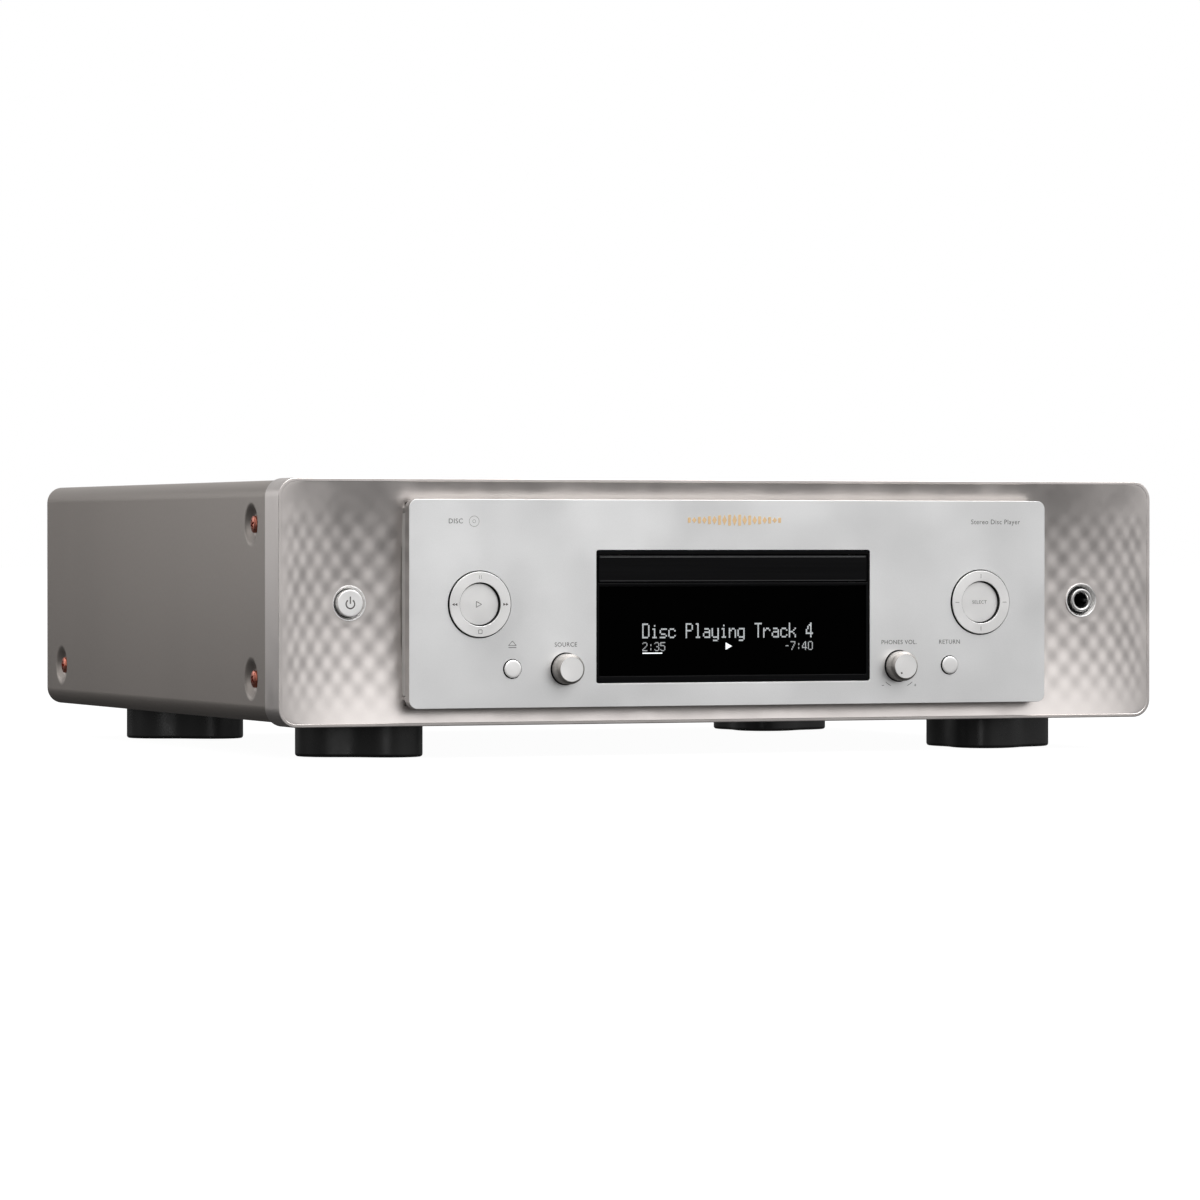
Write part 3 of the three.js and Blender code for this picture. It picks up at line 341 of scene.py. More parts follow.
def band(x, z, radius, width, start, end, steps=32):
    """A curved stroke round (x, z), from start to end in degrees, clockwise from the top."""
    edge = []
    for step in range(steps + 1):
        angle = math.radians(90 - start - (end - start) * step / steps)
        edge.append((math.cos(angle), math.sin(angle)))
    outer = [(x + c * (radius + width / 2), z + s * (radius + width / 2)) for c, s in edge]
    inner = [(x + c * (radius - width / 2), z + s * (radius - width / 2)) for c, s in reversed(edge)]
    return outer + inner


def prisms(name, outlines, front, back, axis="Y"):
    """Each outline, drawn as (x, z), becomes a closed slab from front to back. With axis Z it is (x, y)."""
    points, faces = [], []
    for outline in outlines:
        start, count = len(points), len(outline)
        for depth in (front, back):
            points += [(x, depth, z) if axis == "Y" else (x, z, depth) if axis == "Z" else (depth, x, z)
                       for x, z in outline]
        faces.append(list(range(start, start + count)))
        faces.append(list(range(start + count, start + 2 * count)))
        for k in range(count):
            n = (k + 1) % count
            faces.append([start + k, start + n, start + count + n, start + count + k])
    return make(name, points, faces)


def block(name, x0, x1, y0, y1, z0, z1, radius=0):
    return prisms(name, [rectangle(x0, x1, z0, z1, radius)], y0, y1)


def slab(name, outline, holes, front, back, edge, steps=3):
    """A flat plate with holes, every front and back edge rounded by edge millimetres."""
    curve = bpy.data.curves.new(name, "CURVE")
    curve.dimensions = "2D"
    curve.fill_mode = "BOTH"
    for line in [outline, *holes]:
        spline = curve.splines.new("POLY")
        spline.points.add(len(line) - 1)
        for point, (x, z) in zip(spline.points, line):
            point.co = (x * MM, z * MM, 0, 1)
        spline.use_cyclic_u = True
    curve.extrude = ((back - front) / 2 - edge) * MM
    curve.bevel_depth = edge * MM
    curve.bevel_resolution = steps
    curve.offset = -edge * MM
    made = bpy.data.objects.new(name, curve)
    made.location.y = RIM + (front + back) / 2 * MM
    made.rotation_euler.x = math.pi / 2
    bpy.context.scene.collection.objects.link(made)
    bpy.context.view_layer.update()
    flat = settle(made)
    weld(flat)
    return flat


def weld(obj):
    shape = bmesh.new()
    shape.from_mesh(obj.data)
    bmesh.ops.remove_doubles(shape, verts=shape.verts, dist=1e-6)
    bmesh.ops.recalc_face_normals(shape, faces=shape.faces)
    shape.to_mesh(obj.data)
    shape.free()


def words(name, text, x, z, height, front, thick=0.03, align="CENTER", turn=0.0):
    """Plain lettering of that cap height, its middle at (x, z), on a face at front."""
    curve = bpy.data.curves.new(name, "FONT")
    curve.body = text
    curve.size = height * MM / 0.73
    curve.align_x = align
    curve.align_y = "CENTER"
    curve.space_character = 1.08
    curve.resolution_u = 4
    curve.extrude = thick / 2 * MM
    made = bpy.data.objects.new(name, curve)
    made.location = (x * MM, RIM + (front - thick / 2 + 0.01) * MM, z * MM)
    made.rotation_euler = (math.pi / 2, 0, turn)
    bpy.context.scene.collection.objects.link(made)
    bpy.context.view_layer.update()
    flat = settle(made)
    weld(flat)
    return flat


def printed(name, outlines, front, material, body=CHASSIS):
    """Ink on a front face: the outlines as a film just proud of it."""
    return put(prisms(name, outlines, front - 0.02, front + 0.01), material, body)


# ---------------------------------------------------------------- front panel
PANEL_RADIUS = 8.5
PANEL_WALL = 3.0
INNER_BACK = 7.8            # the hollow behind the panel starts here
SEAT = 4.5                  # the plate's seat, just behind the plate
RELIEF = 0.13
SIDE_HOLE = 7.95            # round the power button and the headphone socket
RELIEF_PITCH = 13.3         # from one row of dimples to the next
RELIEF_ROW = 41.2


def smooth_step(value, low, high):
    t = min(max((value - low) / (high - low), 0), 1)
    return t * t * (3 - 2 * t)


def relief(x, z):
    """The lattice of soft dimples on the wings. Its columns close up towards the panel's ends."""
    outward = abs(x) - 170.7
    root = math.sqrt(max(36.7 - 0.64 * outward, 1.0))
    columns = math.cos(math.pi * (6.06 - root) / 0.32)
    rows = math.cos(2 * math.pi * (z - RELIEF_ROW) / RELIEF_PITCH)
    from_end = PANEL_HIGH.x - abs(x)
    fade = smooth_step(from_end, 1, 6) * smooth_step(z, 13, 44) * (1 - smooth_step(z, 100, 121))
    from_control = math.hypot(abs(x) - JACK.x, z - JACK.z)
    return RELIEF * rows * columns * fade * smooth_step(from_control, SIDE_HOLE + 0.5, SIDE_HOLE + 4)


def dish(x, z):
    """How far the panel's face lies behind its rim."""
    from_end = min((PANEL_HIGH.x - abs(x)) / 65, 1)
    from_edge = min(min(z - PANEL_LOW.z, PANEL_HIGH.z - z) / 52, 1)
    across = 1 - (1 - from_end) ** 2.6
    up = 1 - (1 - from_edge) ** 2
    return 4.7 * across * up


def panel_depth(x, z, from_outline):
    rim, edge = 1.4, 0.4
    if from_outline < edge:
        return edge - math.sqrt(edge ** 2 - (edge - from_outline) ** 2)
    if from_outline <= rim:
        return 0.0
    return max(0.12, dish(x, z)) + relief(x, z)


def under_plate(x, z, inset):
    return abs(x) < PLATE_HIGH.x - inset and PLATE_LOW.z + inset < z < PLATE_HIGH.z - inset


def steps_between(low, high, pitch):
    count = max(1, round((high - low) / pitch))
    return [low + (high - low) * k / count for k in range(count)]


def grid_lines(stops):
    """Grid lines at each stop, with finer ones between: stops are (place, pitch up to the next)."""
    lines = []
    for (low, pitch), (high, _) in zip(stops, stops[1:]):
        lines += steps_between(low, high, pitch)
    return lines + [stops[-1][0]]


def front_panel():
    """A fine grid inside, and rings round it that follow the rounded outline, in two layers."""
    inner_x = PANEL_HIGH.x - PANEL_RADIUS
    low_z, high_z = PANEL_LOW.z + PANEL_RADIUS, PANEL_HIGH.z - PANEL_RADIUS
    ring_hole = (LEFT_RING.x, LEFT_RING.z, 9)
    small = middle_mm("eject_button")
    knob = middle_mm("source_knob")
    holes = [(abs(x), z, r) for x, z, r in [ring_hole, (small.x, small.z, 3), (knob.x, knob.z, 4)]]
    window = (FRAME_HIGH.x + 1.3, FRAME_LOW.z - 1.3, FRAME_HIGH.z + 1.3)
    seat_x = PLATE_HIGH.x - 2
    half = {0, window[0], seat_x} | {x + s * r for x, _, r in holes for s in (-1, 1)}
    half_stops = [(x, 8) for x in sorted(half)] + [(seat_x + 1, 0.8), (inner_x, 1)]
    half_stops[-3] = (seat_x, 1)
    positive = grid_lines(half_stops)
    columns = [-x for x in reversed(positive[1:])] + positive
    rows_at = {low_z, high_z, window[1], window[2], PLATE_LOW.z + 2, PLATE_HIGH.z - 2}
    rows_at |= {z + s * r for _, z, r in holes for s in (-1, 1)}
    rows = grid_lines([(z, 0.95) for z in sorted(rows_at)])

    def is_open(x, z):
        if abs(x) < window[0] and window[1] < z < window[2]:
            return True
        if any(abs(abs(x) - hx) < r and abs(z - hz) < r for hx, hz, r in holes):
            return True
        return math.hypot(abs(x) - JACK.x, z - JACK.z) < SIDE_HOLE

    points, faces, index = [], [], {}

    def vertex(key, x, y, z):
        if key not in index:
            index[key] = len(points)
            points.append([x, y, z])
        return index[key]

    def grid_vertex(i, k, back):
        x, z = columns[i], rows[k]
        hidden = under_plate(x, z, 1.9)
        y = INNER_BACK if back else SEAT if hidden else panel_depth(x, z, PANEL_RADIUS)
        return vertex((i, k, back), x, y, z)

    cells = {}
    for i in range(len(columns) - 1):
        for k in range(len(rows) - 1):
            x = (columns[i] + columns[i + 1]) / 2
            z = (rows[k] + rows[k + 1]) / 2
            cells[i, k] = not is_open(x, z)
    rim_keys = []
    for (i, k), filled in cells.items():
        if not filled:
            continue
        corners = [(i, k), (i + 1, k), (i + 1, k + 1), (i, k + 1)]
        for back in (False, True):
            faces.append([grid_vertex(a, b, back) for a, b in corners])
        beside = [(i, k - 1), (i + 1, k), (i, k + 1), (i - 1, k)]
        for side, neighbour in enumerate(beside):
            if cells.get(neighbour, True):
                continue
            a, b = corners[side], corners[(side + 1) % 4]
            faces.append([grid_vertex(*a, False), grid_vertex(*b, False),
                          grid_vertex(*b, True), grid_vertex(*a, True)])
            rim_keys += [a, b]
    for a, b in set(rim_keys):
        x, z = columns[a], rows[b]
        reach = math.hypot(abs(x) - JACK.x, z - JACK.z)
        if abs(reach - SIDE_HOLE) > 2:
            continue
        middle = math.copysign(JACK.x, x)
        new_x = middle + (x - middle) * SIDE_HOLE / reach
        new_z = JACK.z + (z - JACK.z) * SIDE_HOLE / reach
        for back in (False, True):
            points[index[a, b, back]] = [new_x, INNER_BACK if back else dish(new_x, new_z), new_z]

    last_i, last_k = len(columns) - 1, len(rows) - 1
    around = []                 # grid corner and outward direction, once round the panel
    corner_steps = 14

    def turn_corner(i, k, start):
        for step in range(corner_steps + 1):
            angle = math.radians(start + 90 * step / corner_steps)
            around.append((i, k, math.cos(angle), math.sin(angle)))

    around += [(i, 0, 0, -1) for i in range(1, last_i)]
    turn_corner(last_i, 0, -90)
    around += [(last_i, k, 1, 0) for k in range(1, last_k)]
    turn_corner(last_i, last_k, 0)
    around += [(i, last_k, 0, 1) for i in range(last_i - 1, 0, -1)]
    turn_corner(0, last_k, 90)
    around += [(0, k, -1, 0) for k in range(last_k - 1, 0, -1)]
    turn_corner(0, 0, 180)

    def place(item, inward):
        i, k, dx, dz = item
        reach = PANEL_RADIUS - inward
        return columns[i] + dx * reach, rows[k] + dz * reach

    face_rings = [7.8, 7.0, 6.0, 5.0, 4.0, 3.2, 2.4, 1.9, 1.55, 1.4, 0.4, 0.24, 0.11, 0.03, 0.0]
    depth = PANEL_HIGH.y
    back_rings = [(0.0, 2.0), (0.0, depth - 0.3), (0.3, depth), (PANEL_WALL, depth), (PANEL_WALL, INNER_BACK),
                  (PANEL_RADIUS - 0.5, INNER_BACK)]
    rings = [[grid_vertex(i, k, False) for i, k, _, _ in around]]
    levels = [(inward, None) for inward in face_rings] + back_rings
    for number, (inward, y) in enumerate(levels):
        ring = []
        for place_number, item in enumerate(around):
            x, z = place(item, inward)
            deep = panel_depth(x, z, inward) if y is None else y
            ring.append(vertex(("ring", number, place_number), x, deep, z))
        rings.append(ring)
    rings.append([grid_vertex(i, k, True) for i, k, _, _ in around])
    count = len(around)
    for a, b in zip(rings, rings[1:]):
        for k in range(count):
            n = (k + 1) % count
            face = list(dict.fromkeys([a[k], a[n], b[n], b[k]]))
            if len(face) > 2:
                faces.append(face)
    made = make("front_panel_face", points, faces)
    put(made, PANEL, replaces=["front_panel"], smooth=25)


def side_bezels():
    """Turned cones that line the two holes in the wings."""
    for name, middle in [("power_bezel", POWER), ("socket_bezel", JACK)]:
        profile = rounded([(SIDE_HOLE + 0.15, 3.75), (SIDE_HOLE - 0.35, 3.75), (6.5, 5.6), (6.5, 7.6),
                           (SIDE_HOLE + 0.1, 7.6)], 0.12, closed=True)
        put(lathe(name, (middle.x, 0, middle.z), profile, sides=96, closed=True), CONTROL)


# ---------------------------------------------------------------- front plate
GUIDE_LOW, GUIDE_HIGH = box_mm("light_guide_left")
SMALL_LEFT, SMALL_RIGHT = middle_mm("eject_button"), middle_mm("return_button")
KNOB_LEFT, KNOB_RIGHT = middle_mm("source_knob"), middle_mm("level_knob")
PLATE_FRONT = PLATE_LOW.y
RING_HOLE, SMALL_HOLE, KNOB_HOLE = 15.45, 4.5, 7.5


def front_plate():
    window = rectangle(FRAME_LOW.x - 0.3, FRAME_HIGH.x + 0.3, FRAME_LOW.z - 0.3, FRAME_HIGH.z + 0.3, 1.2)
    holes = [window]
    for ring in (LEFT_RING, RIGHT_RING):
        holes.append(circle(ring.x, ring.z, RING_HOLE, 96))
    for small in (SMALL_LEFT, SMALL_RIGHT):
        holes.append(circle(small.x, small.z, SMALL_HOLE))
    for knob in (KNOB_LEFT, KNOB_RIGHT):
        holes.append(circle(knob.x, knob.z, KNOB_HOLE))
    outline = rectangle(PLATE_LOW.x, PLATE_HIGH.x, PLATE_LOW.z, PLATE_HIGH.z, 4, 10)
    skin = 0.45
    face = slab("front_plate_face", outline, holes, PLATE_FRONT, PLATE_FRONT + skin, 0.13, 3)
    put(face, PLATE, replaces=["front_plate"])
    middle = slab("front_plate_edge", outline, holes, PLATE_FRONT + skin + 0.01, GUIDE_LOW.y, 0.03, 1)
    put(middle, PLATE_EDGE)

    notch_low, notch_high = GUIDE_LOW.z - 0.3, GUIDE_HIGH.z + 0.3
    notch = -GUIDE_HIGH.x - 0.3
    back_outline = [(PLATE_LOW.x + 0.3, PLATE_LOW.z + 4), (PLATE_LOW.x + 4, PLATE_LOW.z + 0.3),
                    (PLATE_HIGH.x - 4, PLATE_LOW.z + 0.3), (PLATE_HIGH.x - 0.3, PLATE_LOW.z + 4),
                    (PLATE_HIGH.x - 0.3, notch_low), (notch, notch_low), (notch, notch_high),
                    (PLATE_HIGH.x - 0.3, notch_high), (PLATE_HIGH.x - 0.3, PLATE_HIGH.z - 4),
                    (PLATE_HIGH.x - 4, PLATE_HIGH.z - 0.3), (PLATE_LOW.x + 4, PLATE_HIGH.z - 0.3),
                    (PLATE_LOW.x + 0.3, PLATE_HIGH.z - 4), (PLATE_LOW.x + 0.3, notch_high),
                    (-notch, notch_high), (-notch, notch_low), (PLATE_LOW.x + 0.3, notch_low)]
    rear = slab("front_plate_back", back_outline, holes, GUIDE_LOW.y + 0.02, PLATE_HIGH.y, 0.1, 1)
    put(rear, PLATE_EDGE)


def light_guides():
    for name in ("light_guide_left", "light_guide_right"):
        low, high = box_mm(name)
        bar_shape = block(f"{name}_bar", low.x, high.x, low.y, high.y, low.z, high.z)
        put(soften(bar_shape, 0.25), CLEAR, replaces=[name])


# ---------------------------------------------------------------- front controls
def gap_shade(name, x, z, inner, outer, front, back, body=CHASSIS):
    """A thin black sleeve in the gap round a control: painted shade that keeps the gap dark."""
    profile = [(inner, front), (outer, front), (outer, back), (inner, back)]
    put(lathe(name, (x, 0, z), profile, sides=96, closed=True), BLACK, body)


def ring_control(middle, ring, button, frame_node):
    """A rocking ring and the push button in its middle."""
    low, high = box_mm(ring)
    outer, inner = (high.x - low.x) / 2, 10.0
    centre = (middle.x, 0, middle.z)
    profile = rounded([(inner, high.y), (outer, high.y), (outer, low.y), (inner, low.y)], 0.16, closed=True)
    put(lathe(f"{ring}_turned", centre, profile, sides=128, closed=True), CONTROL,
        body=ring, replaces=[ring])
    # A black band round the ring's outer side: painted shade in the gap round the ring.
    gap_shade(f"{ring}_painted_shade", middle.x, middle.z, outer - 0.02, outer + 0.05, PLATE_FRONT - 0.55, high.y - 0.3, ring)
    low, high = box_mm(button)
    cap = (high.x - low.x) / 2
    profile = [(0, low.y)] + rounded([(cap - 3, low.y), (cap, low.y), (cap, low.y + 3), (4, low.y + 3),
                                      (4, 8), (1.5, 8), (1.5, high.y)], 0.35) + [(0, high.y)]
    put(lathe(f"{button}_turned", centre, profile, sides=96), CONTROL, body=button,
        replaces=[button])
    dress(frame_node, STEEL)


def small_button(node):
    low, high = box_mm(node)
    middle = (low + high) / 2
    radius = (high.x - low.x) / 2
    face = [(0, low.y), (radius * 0.5, low.y + 0.01), (radius * 0.8, low.y + 0.04)]
    rest = rounded([(radius * 0.84, low.y + 0.05), (radius, low.y + 0.15), (radius, 0.5), (2, 0.5),
                    (2, high.y)], 0.14) + [(0, high.y)]
    put(lathe(f"{node}_turned", (middle.x, 0, middle.z), face + rest, sides=64), CONTROL,
        body=node, replaces=[node])
    # A black band round the button's side: painted shade in the gap round it.
    gap_shade(f"{node}_painted_shade", middle.x, middle.z, radius - 0.02, radius + 0.05, PLATE_FRONT - 0.45, 0.2, node)


def knob(node):
    low, high = box_mm(node)
    middle = (low + high) / 2
    base = (high.x - low.x) / 2
    face = base - 1.3
    seat = PLATE_FRONT + 0.9
    front = low.y + 0.03          # leaves room for the printed pointer
    core = face - 0.1
    profile = [(0, front), (core, front), (core, seat), (3, seat), (3, high.y), (0, high.y)]
    put(lathe(f"{node}_turned", (middle.x, 0, middle.z), profile, sides=96), CONTROL,
        body=node, replaces=[node])
    # The knob's side takes the darker copy of the control finish: painted shade on its side.
    sleeve = rounded([(core + 0.01, front), (face + 0.05, front), (base - 0.25, low.y + 1.3), (base, low.y + 2.6),
                      (base, seat - 0.1), (core + 0.01, seat - 0.1)], 0.4, 5)
    put(lathe(f"{node}_sleeve", (middle.x, 0, middle.z), sleeve, sides=96, closed=True), KNOB_SHADE,
        node)
    # A black band round the knob's base: painted shade in the gap round the knob.
    gap_shade(f"{node}_painted_shade", middle.x, middle.z, base - 0.02, base + 0.06, PLATE_FRONT - 0.5, seat - 0.1, node)


def power_button():
    low, high = box_mm("power_button")
    radius = (high.x - low.x) / 2
    profile = [(0, low.y), (radius - 1, low.y)]
    profile += rounded([(radius - 0.9, low.y), (radius, low.y), (radius, 7.6), (2, 7.6), (2, high.y)], 0.35)
    profile += [(0, high.y)]
    put(lathe("power_button_turned", (POWER.x, 0, POWER.z), profile, sides=96), CONTROL,
        body="power_button", replaces=["power_button"])


def headphone_socket():
    """A bright ring nut with a stepped bore, its moulded body behind, and one contact in the bore."""
    low, high = box_mm("headphone_jack")
    centre = (JACK.x, 0, JACK.z)
    nut = rounded([(5.5, low.y), (5.5, 8), (3.3, 8), (3.3, low.y + 1.6), (4.1, low.y)], 0.45, closed=True)
    put(lathe("headphone_nut", centre, nut, sides=96, closed=True), CHROME)
    bore = lathe("bore", centre, [(0, 0), (3.3, 0), (3.3, 17.5), (0, 17.5)])
    body = block("headphone_body", low.x, high.x, 7.5, high.y, low.z, high.z, 1.5)
    body = combine(soften(body, 0.4), [bore])
    put(body, BLACK, replaces=["headphone_jack"])
    contact = block("headphone_contact", JACK.x + 2.2, JACK.x + 3.6, low.y + 2.2, 12, JACK.z - 0.7, JACK.z + 0.7)
    put(soften(contact, 0.3), BLACK)


def gap_shades():
    # Black sleeves in the plate's holes, a black ring under each knob and black bands on the buttons and inside the
    # rings: painted shade that keeps every gap dark.
    back = GUIDE_LOW.y
    for side, ring, ring_node, button, small, knob_at in (
            ("left", LEFT_RING, "transport_ring", "play_button", SMALL_LEFT, KNOB_LEFT),
            ("right", RIGHT_RING, "cursor_ring", "enter_button", SMALL_RIGHT, KNOB_RIGHT)):
        gap_shade(f"ring_liner_{side}", ring.x, ring.z, RING_HOLE - 0.16, RING_HOLE - 0.01, PLATE_FRONT + 0.27, back)
        gap_shade(f"small_liner_{side}", small.x, small.z, SMALL_HOLE - 0.12, SMALL_HOLE - 0.01,
              PLATE_FRONT + 0.27, back)
        gap_shade(f"knob_liner_{side}", knob_at.x, knob_at.z, KNOB_HOLE - 0.2, KNOB_HOLE - 0.01,
              PLATE_FRONT + 0.27, PLATE_FRONT + 1.4)
        # A black ring under the knob: painted shade in the knob's gap.
        gap_shade(f"knob_gap_shade_ring_{side}", knob_at.x, knob_at.z, 3.5, KNOB_HOLE - 0.05, PLATE_FRONT + 1.2,
              PLATE_FRONT + 1.5)
        low, high = box_mm(button)
        cap = (high.x - low.x) / 2
        gap_shade(f"{button}_painted_shade", ring.x, ring.z, cap - 0.02, cap + 0.1, low.y + 0.5, low.y + 2.8, button)
        gap_shade(f"{ring_node}_inner_shade", ring.x, ring.z, 9.9, 10.02, RING_FRONT + 0.2, -2.2, ring_node)


# ---------------------------------------------------------------- printed marks
def triangle(x, z, size, turn=0.0):
    """A triangle that points right at turn 0, as far across as it is tall."""
    corners = [(-0.45, -0.5), (0.5, 0), (-0.45, 0.5)]
    cos, sin = math.cos(math.radians(turn)) * size, math.sin(math.radians(turn)) * size
    return [(x + a * cos - b * sin, z + a * sin + b * cos) for a, b in corners]


def outline_strokes(corners, width):
    """The strokes along the sides of a closed figure."""
    return [bar(*a, *b, width) for a, b in zip(corners, corners[1:] + corners[:1])]


def transport_marks():
    x, z = LEFT_RING.x, LEFT_RING.z
    lane = 12.45
    square = rectangle(x - 0.85, x + 0.85, z - lane - 0.85, z - lane + 0.85)
    marks = outline_strokes(square, 0.22)
    for side in (-1, 1):
        for step in (-0.65, 0.65):
            marks.append(triangle(x + side * lane + step, z, 1.3, 0 if side > 0 else 180))
    printed("transport_marks", marks, RING_FRONT, PRINT, "transport_ring")
    pause = [bar(x + step, z + lane - 0.8, x + step, z + lane + 0.8, 0.3) for step in (-0.45, 0.45)]
    printed("pause_mark", pause, RING_FRONT, FAINT_PRINT, "transport_ring")
    play = outline_strokes(triangle(x - 0.1, z, 2.7), 0.28)
    printed("play_mark", play, box_mm("play_button")[0].y, PRINT, "play_button")


def cursor_marks():
    x, z = RIGHT_RING.x, RIGHT_RING.z
    ticks = []
    for angle in range(0, 360, 90):
        c, s = math.cos(math.radians(angle)), math.sin(math.radians(angle))
        ticks.append(bar(x + 11.4 * c, z + 11.4 * s, x + 13.4 * c, z + 13.4 * s, 0.22))
    printed("cursor_ticks", ticks, RING_FRONT, PRINT, "cursor_ring")
    label = words("select_label", "SELECT", x, z, 1.6, box_mm("enter_button")[0].y)
    put(label, PRINT, "enter_button")


def plate_marks():
    label_z, label_height = 52.0, 2.05
    for name, text, x in [("source_label", "SOURCE", KNOB_LEFT.x), ("level_label", "PHONES VOL.", KNOB_RIGHT.x),
                          ("return_label", "RETURN", SMALL_RIGHT.x)]:
        put(words(name, text, x, label_z, label_height, PLATE_FRONT), PRINT)
    x = SMALL_LEFT.x
    tent = outline_strokes([(x - 1.9, label_z - 0.2), (x + 1.9, label_z - 0.2), (x, label_z + 1.9)], 0.22)
    printed("eject_mark", tent + [bar(x - 1.9, label_z - 1.1, x + 1.9, label_z - 1.1, 0.3)], PLATE_FRONT, PRINT)

    x, z = KNOB_RIGHT.x, KNOB_RIGHT.z
    reach = 10.2
    sweep = [band(x, z, reach, 0.22, start, end, 8) for start, end in ((205, 222), (138, 155))]
    for side in (-1, 1):
        far = (x + side * 8.4, z - reach + 1.1)
        sweep.append(bar(far[0] - 0.6, far[1], far[0] + 0.6, far[1], 0.22))
        if side > 0:
            sweep.append(bar(far[0], far[1] - 0.6, far[0], far[1] + 0.6, 0.22))
    printed("level_sweep", sweep, PLATE_FRONT, PRINT)
    face = box_mm("level_knob")[0].y
    pointer = lathe("level_pointer", (x - 2.2, 0, z - 3.2), [(0, face), (0.45, face), (0.45, face + 0.05),
                    (0, face + 0.05)], sides=24)
    put(pointer, PRINT, "level_knob")

    top_z = 108.6
    left = PLATE_LOW.x + 16.5
    disc = [band(left + 15, top_z, radius, 0.24, 0, 360, 40) for radius in (2.4, 0.7)]
    printed("disc_mark", disc, PLATE_FRONT, FAINT_PRINT)
    put(words("left_label", "DISC", left + 6, top_z, 2.3, PLATE_FRONT), PRINT)
    put(words("right_label", "Stereo Disc Player", PLATE_HIGH.x - 26, top_z, 2.3, PLATE_FRONT), PRINT)
    printed("power_mark", [band(POWER.x, POWER.z - 0.3, 2.05, 0.62, 35, 325),
                           bar(POWER.x, POWER.z - 0.2, POWER.x, POWER.z + 3.1, 0.58)],
            box_mm("power_button")[0].y, PRINT, "power_button")


def gold_emblem():
    """A plain row of gold bars and lozenges, tallest in the middle."""
    z, half_width, half_height = 109.3, 24, 2.7
    shapes = []
    count = 19
    for step in range(count):
        across = (step - (count - 1) / 2) / ((count - 1) / 2)
        x = across * (half_width - 1.1)
        tall = half_height * (1 - 0.55 * abs(across))
        if step % 2:
            shapes.append([(x - 1.15, z), (x, z - tall), (x + 1.15, z), (x, z + tall)])
        else:
            shapes.append(rectangle(x - 0.7, x + 0.7, z - tall, z + tall, 0.3, 3))
    slabs = prisms("gold_emblem", shapes, PLATE_FRONT - 0.12, PLATE_FRONT + 0.02)
    put(slabs, GOLD)


# ---------------------------------------------------------------- window, display and tray door
def display_window():
    split = -3.6
    half, low, high = FRAME_HIGH.x, FRAME_LOW.z, FRAME_HIGH.z
    door_low, door_high = box_mm("tray_door")
    slot = rectangle(door_low.x - 0.3, door_high.x + 0.3, door_low.z - 0.3, door_high.z + 0.3, 0.5)
    seat = rectangle(GLASS_LOW.x - 0.3, GLASS_HIGH.x + 0.3, GLASS_LOW.z - 0.3, GLASS_HIGH.z + 0.3, 0.5)
    view = rectangle(-60, 60, 41, 75, 1)
    outline = rectangle(-half, half, low, high, 1.0)
    put(slab("window_frame_front", outline, [slot, seat], FRAME_LOW.y, split + 0.05, 0.22), PIANO_BLACK,
        replaces=["window_frame"])
    put(slab("window_frame_back", rectangle(-half + 0.1, half - 0.1, low + 0.1, high - 0.1, 1),
             [slot, view], split, FRAME_HIGH.y, 0.1), BLACK)
    glass = slab("display_glass_pane", rectangle(GLASS_LOW.x, GLASS_HIGH.x, GLASS_LOW.z, GLASS_HIGH.z, 0.4), [],
                 GLASS_LOW.y, GLASS_HIGH.y, 0.15)
    put(glass, GLASS, replaces=["display_glass"])
    dress("display_module", BLACK)
    door = slab("tray_door_face", rectangle(door_low.x, door_high.x, door_low.z, door_high.z, 0.6), [],
                door_low.y, door_high.y, 0.4, 4)
    put(door, DOOR_BLACK, "tray", ["tray_door"])
    # Two thin strips on the door's face along its top and bottom edges: painted highlights.
    for name, z, material in (("top", door_high.z - 0.75, DOOR_HIGHLIGHT), ("bottom", door_low.z + 0.7, DOOR_HIGHLIGHT_LOW)):
        line = rectangle(door_low.x + 0.8, door_high.x - 0.8, z - 0.2, z + 0.2, 0.15, 2)
        put(prisms(f"tray_door_{name}_line", [line], door_low.y - 0.04, door_low.y + 0.1), material,
            "tray")


